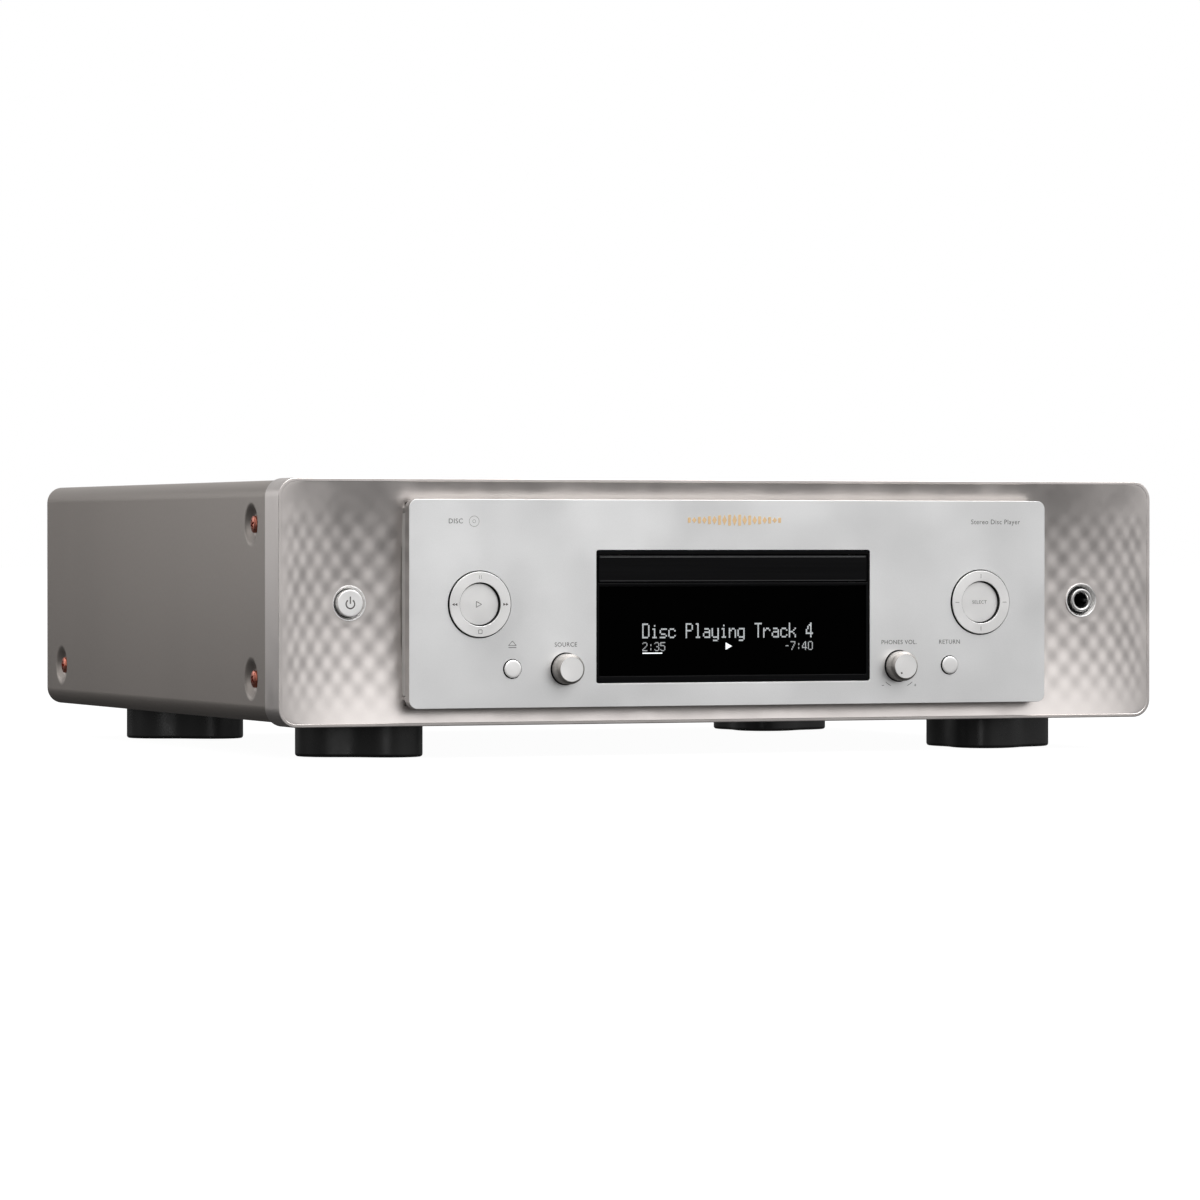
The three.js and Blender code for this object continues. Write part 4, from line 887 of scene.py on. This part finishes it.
# Each letter is drawn in rows from the top, five dots wide; the last two rows hang below the line.
LETTERS = {
    "D": "####. #...# #...# #...# #...# #...# #...# #...# ####.",
    "i": "..... ..#.. ..... .##.. ..#.. ..#.. ..#.. ..#.. .###.",
    "s": "..... ..... ..... .#### #.... #.... .###. ....# ####.",
    "c": "..... ..... ..... .###. #...# #.... #.... #...# .###.",
    "P": "####. #...# #...# #...# ####. #.... #.... #.... #....",
    "l": ".##.. ..#.. ..#.. ..#.. ..#.. ..#.. ..#.. ..#.. .###.",
    "a": "..... ..... ..... .###. ....# .#### #...# #...# .####",
    "y": "..... ..... ..... #...# #...# #...# #...# #...# .#### ....# .###.",
    "n": "..... ..... ..... #.##. ##..# #...# #...# #...# #...#",
    "g": "..... ..... ..... .#### #...# #...# #...# #...# .#### ....# .###.",
    "T": "##### ..#.. ..#.. ..#.. ..#.. ..#.. ..#.. ..#.. ..#..",
    "r": "..... ..... ..... #.##. ##..# #.... #.... #.... #....",
    "k": "#.... #.... #.... #...# #..#. ###.. #..#. #...# #...#",
    "0": ".###. #...# #...# #...# #...# #...# #...# #...# .###.",
    "2": ".###. #...# ....# ....# ...#. ..#.. .#... #.... #####",
    "3": ".###. #...# ....# ....# ..##. ....# ....# #...# .###.",
    "4": "...#. ..##. .#.#. .#.#. #..#. #..#. ##### ...#. ...#.",
    "5": "##### #.... #.... ####. ....# ....# ....# #...# .###.",
    "7": "##### ....# ....# ...#. ...#. ..#.. ..#.. .#... .#...",
    ":": "..... ..... ..#.. ..#.. ..... ..... ..#.. ..#.. .....",
    "-": "..... ..... ..... ..... .###. ..... ..... ..... .....",
    " ": "",
}


def dots(text, left, top, pitch_x, pitch_z, advance):
    """The lit dots of a line of text, as small rectangles."""
    lit = []
    for place, letter in enumerate(text):
        for row, line in enumerate(LETTERS[letter].split()):
            for column, mark in enumerate(line):
                if mark == "#":
                    x = left + place * advance + column * pitch_x
                    z = top - (row + 1) * pitch_z
                    lit.append(rectangle(x, x + pitch_x * 0.88, z, z + pitch_z * 0.9))
    return lit


def display_content():
    front = GLASS_LOW.y
    title = dots("Disc Playing Track 4", -46.0, 61.6, 0.74, 0.77, 4.36)
    put(prisms("display_title", title, front - 0.02, front + 0.01), TITLE_DOTS)
    times = dots("2:35", -45.9, 52.9, 0.5, 0.46, 2.98) + dots("-7:40", 26.0, 52.9, 0.5, 0.46, 2.98)
    put(prisms("display_times", times, front - 0.02, front + 0.01), DIM_DOTS)
    signs = [triangle(-2.5, 50.8, 3.4), bar(-45.9, 47.8, -36.0, 47.8, 0.5)]
    put(prisms("display_signs", signs, front - 0.02, front + 0.01), BRIGHT_DOTS)


# ---------------------------------------------------------------- disc tray
def disc_tray():
    """The tray with its two disc recesses, the slot for the turntable and a rack under its edge."""
    low, high = box_mm("disc_tray")
    half, base, top = 64, 83, high.z
    y = middle_mm("clamp_puck").y
    body = prisms("disc_tray_moulding", [rectangle(-half, half, low.y, high.y, 3)], base, top, axis="Z")
    cutters = []
    for radius, floor in ((60.5, 86.5), (40.5, 85.3), (18.5, base - 1)):
        profile = [(0, floor), (radius - 0.5, floor), (radius, floor + 0.5), (radius, top - 0.5),
                   (radius + 0.8, top + 0.3), (radius + 0.8, top + 1), (0, top + 1)]
        cutters.append(lathe("recess", (0, y, 0), profile, axis="Z", sides=128))
    cutters.append(prisms("slot", [rectangle(-18.5, 18.5, y, high.y + 1)], base - 1, top + 1, axis="Z"))
    cutters.append(prisms("gap", [rectangle(-48, 48, y + 66, high.y + 1)], base - 1, top + 1, axis="Z"))
    body = combine(body, cutters)
    put(soften(body, 0.3, 2, 40), GREY, "tray", ["disc_tray"])

    pitch, count = math.pi * 1.5, 35
    pitch_line = middle_mm("tray_gear").x - 9
    first = middle_mm("tray_gear").y - 1.3 * pitch
    outline = [(-half, first)]
    for tooth in range(count):
        start = first + tooth * pitch
        outline += [(pitch_line - 1.6, start), (pitch_line - 1.6, start + 0.6 * pitch),
                    (pitch_line + 1, start + 0.73 * pitch), (pitch_line + 1, start + 0.87 * pitch)]
    outline += [(pitch_line - 1.6, first + count * pitch), (-half, first + count * pitch)]
    rack = prisms("disc_tray_rack", [outline], low.z, base + 0.1, axis="Z")
    put(soften(rack, 0.12, 2, 25), GREY, "tray")


# ---------------------------------------------------------------- case
SCREWS = [f"screw_{side}_{place}" for side in ("left", "right")
          for place in ("front_upper", "front_lower", "rear_lower")]


def top_cover():
    """Folded from one sheet, with a pressed dish round each screw and slots over the boards."""
    sheet, radius, lip = 1.2, 8.0, 206.0
    half, low, high = COVER_HIGH.x, COVER_LOW.z, COVER_HIGH.z

    def section(inset):
        r = radius - inset
        line = [(-lip, low + inset)]
        for x, z, start in [(-half + radius, low + radius, 270), (-half + radius, high - radius, 180),
                            (half - radius, high - radius, 90), (half - radius, low + radius, 0)]:
            for step in range(13):
                angle = math.radians(start - 90 * step / 12)
                line.append((x + r * math.cos(angle), z + r * math.sin(angle)))
        return line + [(lip, low + inset)]

    outer, inner = section(0), section(sheet)
    points, faces = [], []
    count = len(outer)
    for y in (COVER_LOW.y, COVER_HIGH.y):
        points += [(x, y, z) for x, z in outer] + [(x, y, z) for x, z in inner]
    for k in range(count - 1):
        for a, b in ((0, 2 * count), (count, 3 * count)):
            faces.append([a + k, a + k + 1, b + k + 1, b + k])
        for a in (0, 2 * count):
            faces.append([a + k, a + k + 1, a + count + k + 1, a + count + k])
    for k in (0, count - 1):
        faces.append([k, count + k, 3 * count + k, 2 * count + k])
    cover = make("top_cover_sheet", points, faces)

    bosses, dishes = [], []
    for node in SCREWS:
        middle = middle_mm(node)
        side = math.copysign(1, middle.x)
        back = [(0, -4.0), (6.2, -4.0), (10.4, -sheet + 0.15), (10.4, -sheet + 0.4), (0, -sheet + 0.4)]
        bosses.append(lathe("boss", (side * half, middle.y, middle.z),
                            [(r, side * t) for r, t in back], axis="X", sides=64))
        press = rounded([(2.1, -2.8), (5.2, -2.8), (8.6, -0.25), (10.4, 0.0)], 1.3, 5)
        press = [(0, -8), (2.1, -8)] + press + [(10.4, 0.6), (0, 0.6)]
        dishes.append(lathe("dish", (side * half, middle.y, middle.z),
                            [(r, side * t) for r, t in press], axis="X", sides=64))
    cover = combine(cover, bosses, "UNION")
    slots = []
    for x in (-150, 150):
        for step in range(9):
            left = x + (step - 4) * 8 - 1.5
            slots.append(prisms("slot", [rectangle(left, left + 3, 255, 310, 1.45, 5)], high - 3, high + 1,
                                axis="Z"))
    cover = combine(cover, dishes + slots)
    put(cover, COVER, replaces=["top_cover"], smooth=28)


def cross_screw(name, middle, outward, head, shank, rise, material, body=CHASSIS, node=None, turn=20):
    """A pan-head screw along X or Y with a cross recess. outward is its axis and the way its head faces."""
    axis, sign = outward
    u = {"X": 0, "Y": 1, "Z": 2}[axis]
    profile = [(0, 0), (head * 0.45, -0.06), (head * 0.78, -0.28), (head * 0.95, -0.6), (head, -1.0),
               (head, -rise), (shank, -rise), (shank, -rise - 6), (0, -rise - 6)]
    screw = lathe(name, tuple(middle), [(r, sign * t) for r, t in profile], axis=axis, sides=48)
    arms = []
    for step in (0, 90):
        arm = block("arm", -head * 0.55, head * 0.55, -1, 1, -head * 0.13, head * 0.13)
        place = Vector([c * MM for c in middle])
        place.y += RIM
        offset = Vector((0, 0, 0))
        offset[u] = sign * -0.1 * MM
        spin = Matrix.Rotation(math.radians(turn + step), 4, "Y")
        lean = {"X": Matrix.Rotation(math.pi / 2, 4, "Z"), "Y": Matrix.Identity(4),
                "Z": Matrix.Rotation(math.pi / 2, 4, "X")}[axis]
        arm.data.transform(Matrix.Translation((0, -RIM, 0)))
        arm.data.transform(Matrix.Translation(place + offset) @ lean @ spin)
        arms.append(arm)
    screw = combine(screw, arms)
    put(screw, material, body, [node] if node else ())
    return screw


def side_screws():
    for number, node in enumerate(SCREWS):
        low, high = box_mm(node)
        middle = (low + high) / 2
        side = math.copysign(1, middle.x)
        face = high.x if side > 0 else low.x
        cross_screw(f"{node}_head", (face, middle.y, middle.z), ("X", side), (high.z - low.z) / 2, 1.7, 1.9,
                    COPPER, node=node, turn=25 + 31 * number)


def feet():
    """Three lobes with soft bottom edges and a fine line under the case."""
    for node in ("foot_front_left", "foot_front_right", "foot_rear_left", "foot_rear_right"):
        low, high = box_mm(node)
        side = math.copysign(1, low.x)
        centre_y = (low.y + high.y) / 2
        mean, lobe, tall = 27.3, 4.9, high.z
        centre_x = (high.x if side > 0 else -low.x) - mean - lobe
        rim = rounded([(mean - 4, 0.0), (mean, 0.0), (mean, tall - 2.0)], 1.6, 5)
        line = [(mean - 0.35, tall - 1.85), (mean - 0.35, tall - 1.45), (mean, tall - 1.3), (mean, tall),
                (0, tall)]
        profile = [(0, 0.5), (mean - 6, 0.5), (mean - 5, 0.0)] + [tuple(p) for p in rim] + line

        def lobes(angle):
            return lobe * math.cos(3 * angle) * side
        foot = lathe(f"{node}_moulding", (side * centre_x, centre_y, 0), profile, axis="Z", sides=144,
                     shape=lobes)
        put(foot, FOOT, replaces=[node], smooth=40)


# ---------------------------------------------------------------- rear panel and sockets
BACK = box_mm("rear_panel")[1].y


def socket_hole(node):
    low, high = box_mm(node)
    return rectangle(low.x - 0.3, high.x + 0.3, low.z - 0.3, high.z + 0.3, 0.8)


NETWORK, NETWORK_HALF = Vector((-40, 0, 52)), (8, 7)
USB, USB_HALF = Vector((-66, 0, 52)), (7.2, 3.6)
DIGITAL = Vector((36, 0, 54))
ANALOGUE = [Vector((150, 0, 58 + step)) for step in (9.5, -9.5)]


def rear_panel():
    low, high = box_mm("rear_panel")
    ports = (box_mm("usb_socket")[0], box_mm("network_socket")[1])
    holes = [socket_hole("mains_inlet"), rectangle(ports[0].x - 0.3, ports[1].x + 0.3, ports[0].z - 0.3,
                                                   ports[1].z + 0.3, 0.6)]
    holes.append(circle(DIGITAL.x, DIGITAL.z, 4.8))
    holes.append(rectangle(DIGITAL.x + 13, DIGITAL.x + 23, DIGITAL.z - 5, DIGITAL.z + 5, 0.5))
    holes += [circle(place.x, place.z, 5.2) for place in ANALOGUE]
    sheet = slab("rear_panel_sheet", rectangle(low.x, high.x, low.z, high.z, 5, 10), holes, low.y, high.y, 0.25)
    put(sheet, COVER, replaces=["rear_panel"])
    spots = [(low.x + 8, low.z + 12), (high.x - 8, low.z + 12), (low.x + 8, high.z - 12), (high.x - 8, high.z - 12),
             (-100, high.z - 8), (0, high.z - 8), (100, high.z - 8), (-100, low.z + 8), (100, low.z + 8),
             (DIGITAL.x - 9, DIGITAL.z + 12), (DIGITAL.x + 27, DIGITAL.z - 10), (162, 58), (-160, 58), (-204, 58)]
    for number, (x, z) in enumerate(spots):
        cross_screw(f"rear_screw_{number + 1}", (x, high.y + 1.5, z), ("Y", 1), 2.9, 1.3, 1.5, STEEL,
                    turn=17 + 29 * number)


def hollow(name, x, z, half_x, half_z, wall, front, back, material, slot, radius=0.8, node=None, lintel=None):
    """A socket's open shell, closed at its inner end. The lintel is its thickness over and under the space."""
    lintel = lintel or wall
    shell = block(name, x - half_x, x + half_x, front, back, z - half_z, z + half_z, radius)
    space = block("space", x - half_x + wall, x + half_x - wall, front + 1, back + 1, z - half_z + lintel,
                  z + half_z - lintel, max(radius - wall, 0.3))
    shell = soften(combine(shell, [space]), 0.15, 2, 40)
    return put(shell, material, replaces=[node] if node else ())


def pin(name, x0, x1, y0, y1, z0, z1, material, width=0.2):
    return put(soften(block(name, x0, x1, y0, y1, z0, z1), width, 2), material)


def mains_inlet():
    low, high = box_mm("mains_inlet")
    middle = (low + high) / 2
    hollow("mains_inlet_shell", middle.x, middle.z, (high.x - low.x) / 2, (high.z - low.z) / 2, 2,
           low.y, high.y, BLACK, "black_plastic", 1.2, "mains_inlet", 4.5)
    for number, (dx, dz) in enumerate([(-7, -1), (7, -1), (0, 3)]):
        x, z = middle.x + dx, middle.z + dz
        pin(f"mains_pin_{number + 1}", x - 1, x + 1, low.y + 1, 366, z - 2, z + 2, CHROME, 0.4)
    for side in (-1, 1):
        key = [(middle.x + side * 12.6, middle.z + 8.6), (middle.x + side * 12.6, middle.z + 4.6),
               (middle.x + side * 8.6, middle.z + 8.6)]
        put(prisms(f"mains_key_{'left' if side < 0 else 'right'}", [key], low.y + 1, high.y - 0.6), BLACK)


def flange(name, node, middle, half):
    """The plate round a data socket, level with the rear panel."""
    low, high = box_mm(node)
    hole = rectangle(middle.x - half[0] - 0.02, middle.x + half[0] + 0.02, middle.z - half[1] - 0.02,
                     middle.z + half[1] + 0.02, 0.6)
    plate = slab(name, rectangle(low.x, high.x, low.z, high.z, 0.5), [hole], BACK - 1.5, BACK, 0.2)
    put(plate, STEEL)


def data_sockets():
    low, high = box_mm("network_socket")
    middle = NETWORK
    flange("network_flange", "network_socket", NETWORK, NETWORK_HALF)
    flange("usb_flange", "usb_socket", USB, USB_HALF)
    hollow("network_shell", middle.x, middle.z, *NETWORK_HALF, 1.2, low.y, high.y, STEEL, "bare_steel", 0.6,
           "network_socket")
    insert = block("network_insert", middle.x - 6.7, middle.x + 6.7, low.y + 1, high.y - 1.5, middle.z - 5.7,
                   middle.z + 5.7)
    throat = [block("throat", middle.x - 5.9, middle.x + 5.9, low.y + 3, high.y, middle.z - 4.6, middle.z + 2.4),
              block("notch", middle.x - 3, middle.x + 3, low.y + 3, high.y, middle.z + 2, middle.z + 4.2)]
    put(combine(insert, throat), BLACK)
    for number in range(8):
        x = middle.x + (number - 3.5) * 1.02
        pin(f"network_contact_{number + 1}", x - 0.22, x + 0.22, low.y + 2, high.y - 4, middle.z - 4.7,
            middle.z - 4.1, BRASS, 0.1)
    for side in (-1, 1):
        lamp = prisms(f"network_lamp_{'left' if side < 0 else 'right'}",
                      [rectangle(middle.x + side * 5 - 1.3, middle.x + side * 5 + 1.3, middle.z + 3.6,
                                 middle.z + 5.2, 0.3)], high.y - 1.6, high.y - 1.2)
        put(lamp, ORANGE_PLASTIC if side > 0 else WHITE_PLASTIC)
    low, high = box_mm("usb_socket")
    middle = USB
    hollow("usb_shell", middle.x, middle.z, *USB_HALF, 0.7, low.y, high.y, CHROME, "bright_steel", 0.6,
           "usb_socket")
    pin("usb_tongue", middle.x - 5.6, middle.x + 5.6, low.y + 1, high.y - 2, middle.z + 0.2, middle.z + 2,
        WHITE_PLASTIC)
    for number in range(4):
        x = middle.x + (number - 1.5) * 2.4
        pin(f"usb_contact_{number + 1}", x - 0.5, x + 0.5, low.y + 1.5, high.y - 3, middle.z + 0.05,
            middle.z + 0.4, BRASS, 0.1)


def phono_socket(name, place, colour):
    """A gold barrel with a coloured insulator round its centre contact."""
    centre = (place.x, 0, place.z)
    end = box_mm("analogue_output")[1].y
    barrel = rounded([(2.9, end), (4.1, end), (4.1, BACK + 2.4), (4.55, BACK + 2.4), (4.55, BACK - 4),
                      (2.9, BACK - 4)], 0.3, closed=True)
    put(lathe(f"{name}_barrel", centre, barrel, sides=64, closed=True), BRASS)
    insulator = rounded([(1.6, end - 0.8), (2.88, end - 0.8), (2.88, BACK), (1.6, BACK)], 0.25, closed=True)
    put(lathe(f"{name}_insulator", centre, insulator, sides=48, closed=True), WHITE_PLASTIC)
    collar = rounded([(4.6, BACK + 2.0), (7.0, BACK + 2.0), (7.0, BACK + 0.02), (4.6, BACK + 0.02)], 0.5,
                     closed=True)
    put(lathe(f"{name}_collar", centre, collar, sides=64, closed=True), colour)
    contact = rounded([(0.9, end - 2.5), (1.55, end - 2.5), (1.55, BACK), (0.9, BACK)], 0.2, closed=True)
    put(lathe(f"{name}_contact", centre, contact, sides=32, closed=True), BRASS)


def signal_sockets():
    for name, place, colour in [("left_output", ANALOGUE[0], WHITE_PLASTIC), ("right_output", ANALOGUE[1], RED_PLASTIC),
                                ("coaxial_output", DIGITAL, ORANGE_PLASTIC)]:
        phono_socket(name, place, colour)
    inside = BACK - 1.8
    x, z = ANALOGUE[0].x, 58
    body = soften(block("analogue_body", x - 8, x + 8, inside - 12, inside, z - 20, z + 20), 0.5)
    put(body, BLACK, replaces=["analogue_output"])
    x, z = DIGITAL.x, DIGITAL.z
    body = soften(block("digital_body", x - 7, x + 25, inside - 12, inside, z - 8, z + 8), 0.5)
    put(body, BLACK, replaces=["digital_output"])
    hollow("optical_shell", x + 18, z, 4.6, 4.6, 0.8, inside - 1, BACK + 1.5, BLACK, "black_plastic", 0.6)
    shutter = soften(block("optical_shutter", x + 14.4, x + 21.6, BACK - 0.6, BACK + 0.2, z - 3.7, z + 3.7), 0.3)
    put(shutter, GREY)


# ---------------------------------------------------------------- CAD pieces that keep their shape
def dress(node, material, width=0.3):
    """Gives a CAD node its material and softens its edges; its own mesh stays as it is."""
    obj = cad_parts[node]
    obj.data.materials.clear()
    obj.data.materials.append(material)
    join = obj.modifiers.new("join", "WELD")
    join.merge_threshold = 1e-5
    edges = obj.modifiers.new("soften", "BEVEL")
    edges.width = width * MM
    edges.segments = 2
    edges.limit_method = "ANGLE"
    edges.angle_limit = math.radians(40)


def inner_works():
    for node, material in [
            ("control_board", BOARD), ("source_encoder", STEEL), ("level_control", STEEL), ("tray_gear", GREY),
            ("motor_pulley", BRASS), ("loading_motor", STEEL), ("drive_belt", RUBBER), ("loader_frame", BLACK),
            ("clamp_bridge", STEEL), ("clamp_puck", BLACK), ("traverse_chassis", STEEL),
            ("guide_rod_left", CHROME), ("guide_rod_right", CHROME), ("lead_screw", CHROME), ("sled_motor", STEEL),
            ("spindle_motor", STEEL), ("laser_sled", BLACK), ("turntable", BLACK), ("bottom_chassis", STEEL),
            ("transformer", WINDING), ("power_board", BOARD), ("audio_board", BOARD)]:
        dress(node, material)


# ---------------------------------------------------------------- stage, light and camera
def camera():
    """The viewing point: to the left of the object and far off, almost level with it."""
    made = bpy.data.objects.new("camera", bpy.data.cameras.new("camera"))
    made.data.sensor_width = 36
    made.data.lens = 163.48
    made.data.clip_end = 100
    made.location = (-1.01335, -2.51246, 0.09748)
    made.rotation_euler = (math.radians(90 - 0.5715), 0, math.radians(-22.1697))
    bpy.context.scene.collection.objects.link(made)
    bpy.context.scene.camera = made


def area_light(name, place, target, width, height, power, colour=(1, 1, 1)):
    lamp = bpy.data.lights.new(name, "AREA")
    lamp.shape = "RECTANGLE"
    lamp.size, lamp.size_y = width, height
    lamp.energy = power
    lamp.color = colour
    made = bpy.data.objects.new(name, lamp)
    made.location = place
    made.rotation_euler = (Vector(target) - Vector(place)).to_track_quat("-Z", "Y").to_euler()
    bpy.context.scene.collection.objects.link(made)


# How bright the surround is, by the sine of its height above the horizon.
SKY = [(-1.0, 0.08), (-0.3, 0.11), (-0.06, 0.22), (0.1, 0.58), (0.3, 1.15), (0.5, 1.3), (1.0, 1.05)]


def studio():
    """A pale floor, a white surround for the eye and a soft graded surround for the metal."""
    reach = 20
    floor_points = [(-reach, -reach, 0), (reach, -reach, 0), (reach, reach, 0), (-reach, reach, 0)]
    mesh = bpy.data.meshes.new("floor")
    mesh.from_pydata(floor_points, [], [[0, 1, 2, 3]])
    floor = bpy.data.objects.new("floor", mesh)
    paper = finish("floor_paper", (90, 90, 90), 0.9, mottle=0.0, fleck=0.0, uneven=0.0, depth=0.001,
                   Specular_IOR_Level=0.0, Emission_Color=(1, 1, 1, 1), Emission_Strength=0.97)
    mesh.materials.append(paper)
    bpy.context.scene.collection.objects.link(floor)
    floor.visible_glossy = False
    floor.visible_diffuse = False

    world = bpy.data.worlds.new("surround")
    bpy.context.scene.world = world
    world.use_nodes = True
    tree = world.node_tree
    output = tree.nodes["World Output"]
    seen, felt = tree.nodes["Background"], tree.nodes.new("ShaderNodeBackground")
    seen.inputs["Color"].default_value = (1, 1, 1, 1)
    place = tree.nodes.new("ShaderNodeTexCoord")
    split = tree.nodes.new("ShaderNodeSeparateXYZ")
    tree.links.new(place.outputs["Generated"], split.inputs["Vector"])
    ramp = tree.nodes.new("ShaderNodeValToRGB")
    height = tree.nodes.new("ShaderNodeMapRange")
    height.inputs["From Min"].default_value = -1
    tree.links.new(split.outputs["Z"], height.inputs["Value"])
    tree.links.new(height.outputs["Result"], ramp.inputs["Fac"])
    while len(ramp.color_ramp.elements) < len(SKY):
        ramp.color_ramp.elements.new(0.5)
    for element, (position, value) in zip(ramp.color_ramp.elements, SKY):
        element.position = (position + 1) / 2
        element.color = (value, value, value, 1)
    tree.links.new(ramp.outputs["Color"], felt.inputs["Color"])
    behind = tree.nodes.new("ShaderNodeMapRange")
    behind.inputs["From Min"].default_value = -0.6
    behind.inputs["From Max"].default_value = 0.6
    behind.inputs["To Min"].default_value = 1.3
    behind.inputs["To Max"].default_value = 0.45
    tree.links.new(split.outputs["Y"], behind.inputs["Value"])
    toward = tree.nodes.new("ShaderNodeVectorMath")
    toward.operation = "DOT_PRODUCT"
    toward.inputs[1].default_value = (-0.6, -0.8, 0)
    tree.links.new(place.outputs["Generated"], toward.inputs[0])
    shade = tree.nodes.new("ShaderNodeMapRange")
    shade.inputs["From Min"].default_value = 0.62
    shade.inputs["From Max"].default_value = 0.95
    shade.inputs["To Min"].default_value = 1.0
    shade.inputs["To Max"].default_value = 0.5
    tree.links.new(toward.outputs["Value"], shade.inputs["Value"])
    strength = tree.nodes.new("ShaderNodeMath")
    strength.operation = "MULTIPLY"
    tree.links.new(behind.outputs["Result"], strength.inputs[0])
    tree.links.new(shade.outputs["Result"], strength.inputs[1])
    tree.links.new(strength.outputs["Value"], felt.inputs["Strength"])
    mix = tree.nodes.new("ShaderNodeMixShader")
    rays = tree.nodes.new("ShaderNodeLightPath")
    tree.links.new(rays.outputs["Is Camera Ray"], mix.inputs["Fac"])
    tree.links.new(felt.outputs["Background"], mix.inputs[1])
    tree.links.new(seen.outputs["Background"], mix.inputs[2])
    tree.links.new(mix.outputs["Shader"], output.inputs["Surface"])

    area_light("key", (0.25, -0.68, 0.8), (0, -0.2, 0.08), 1.2, 0.4, 7)
    area_light("top", (0.0, 0.2, 1.8), (0, 0, 0), 2.0, 2.0, 12)
    area_light("rear_left", (-0.66, 0.6, 0.2), (-0.22, -0.12, 0.07), 0.25, 0.3, 0.35)
    area_light("low_left", (-0.85, -1.5, 0.1), (-0.1, -0.1, 0.02), 0.35, 0.2, 0.7)
    bpy.context.scene.view_settings.view_transform = "Standard"


camera()
studio()
front_panel()
side_bezels()
front_plate()
light_guides()
ring_control(LEFT_RING, "transport_ring", "play_button", "transport_spring_frame")
ring_control(RIGHT_RING, "cursor_ring", "enter_button", "cursor_spring_frame")
small_button("eject_button")
small_button("return_button")
knob("source_knob")
knob("level_knob")
power_button()
headphone_socket()
gap_shades()
transport_marks()
cursor_marks()
plate_marks()
gold_emblem()
display_window()
display_content()
disc_tray()
top_cover()
side_screws()
feet()
rear_panel()
mains_inlet()
data_sockets()
signal_sockets()
inner_works()
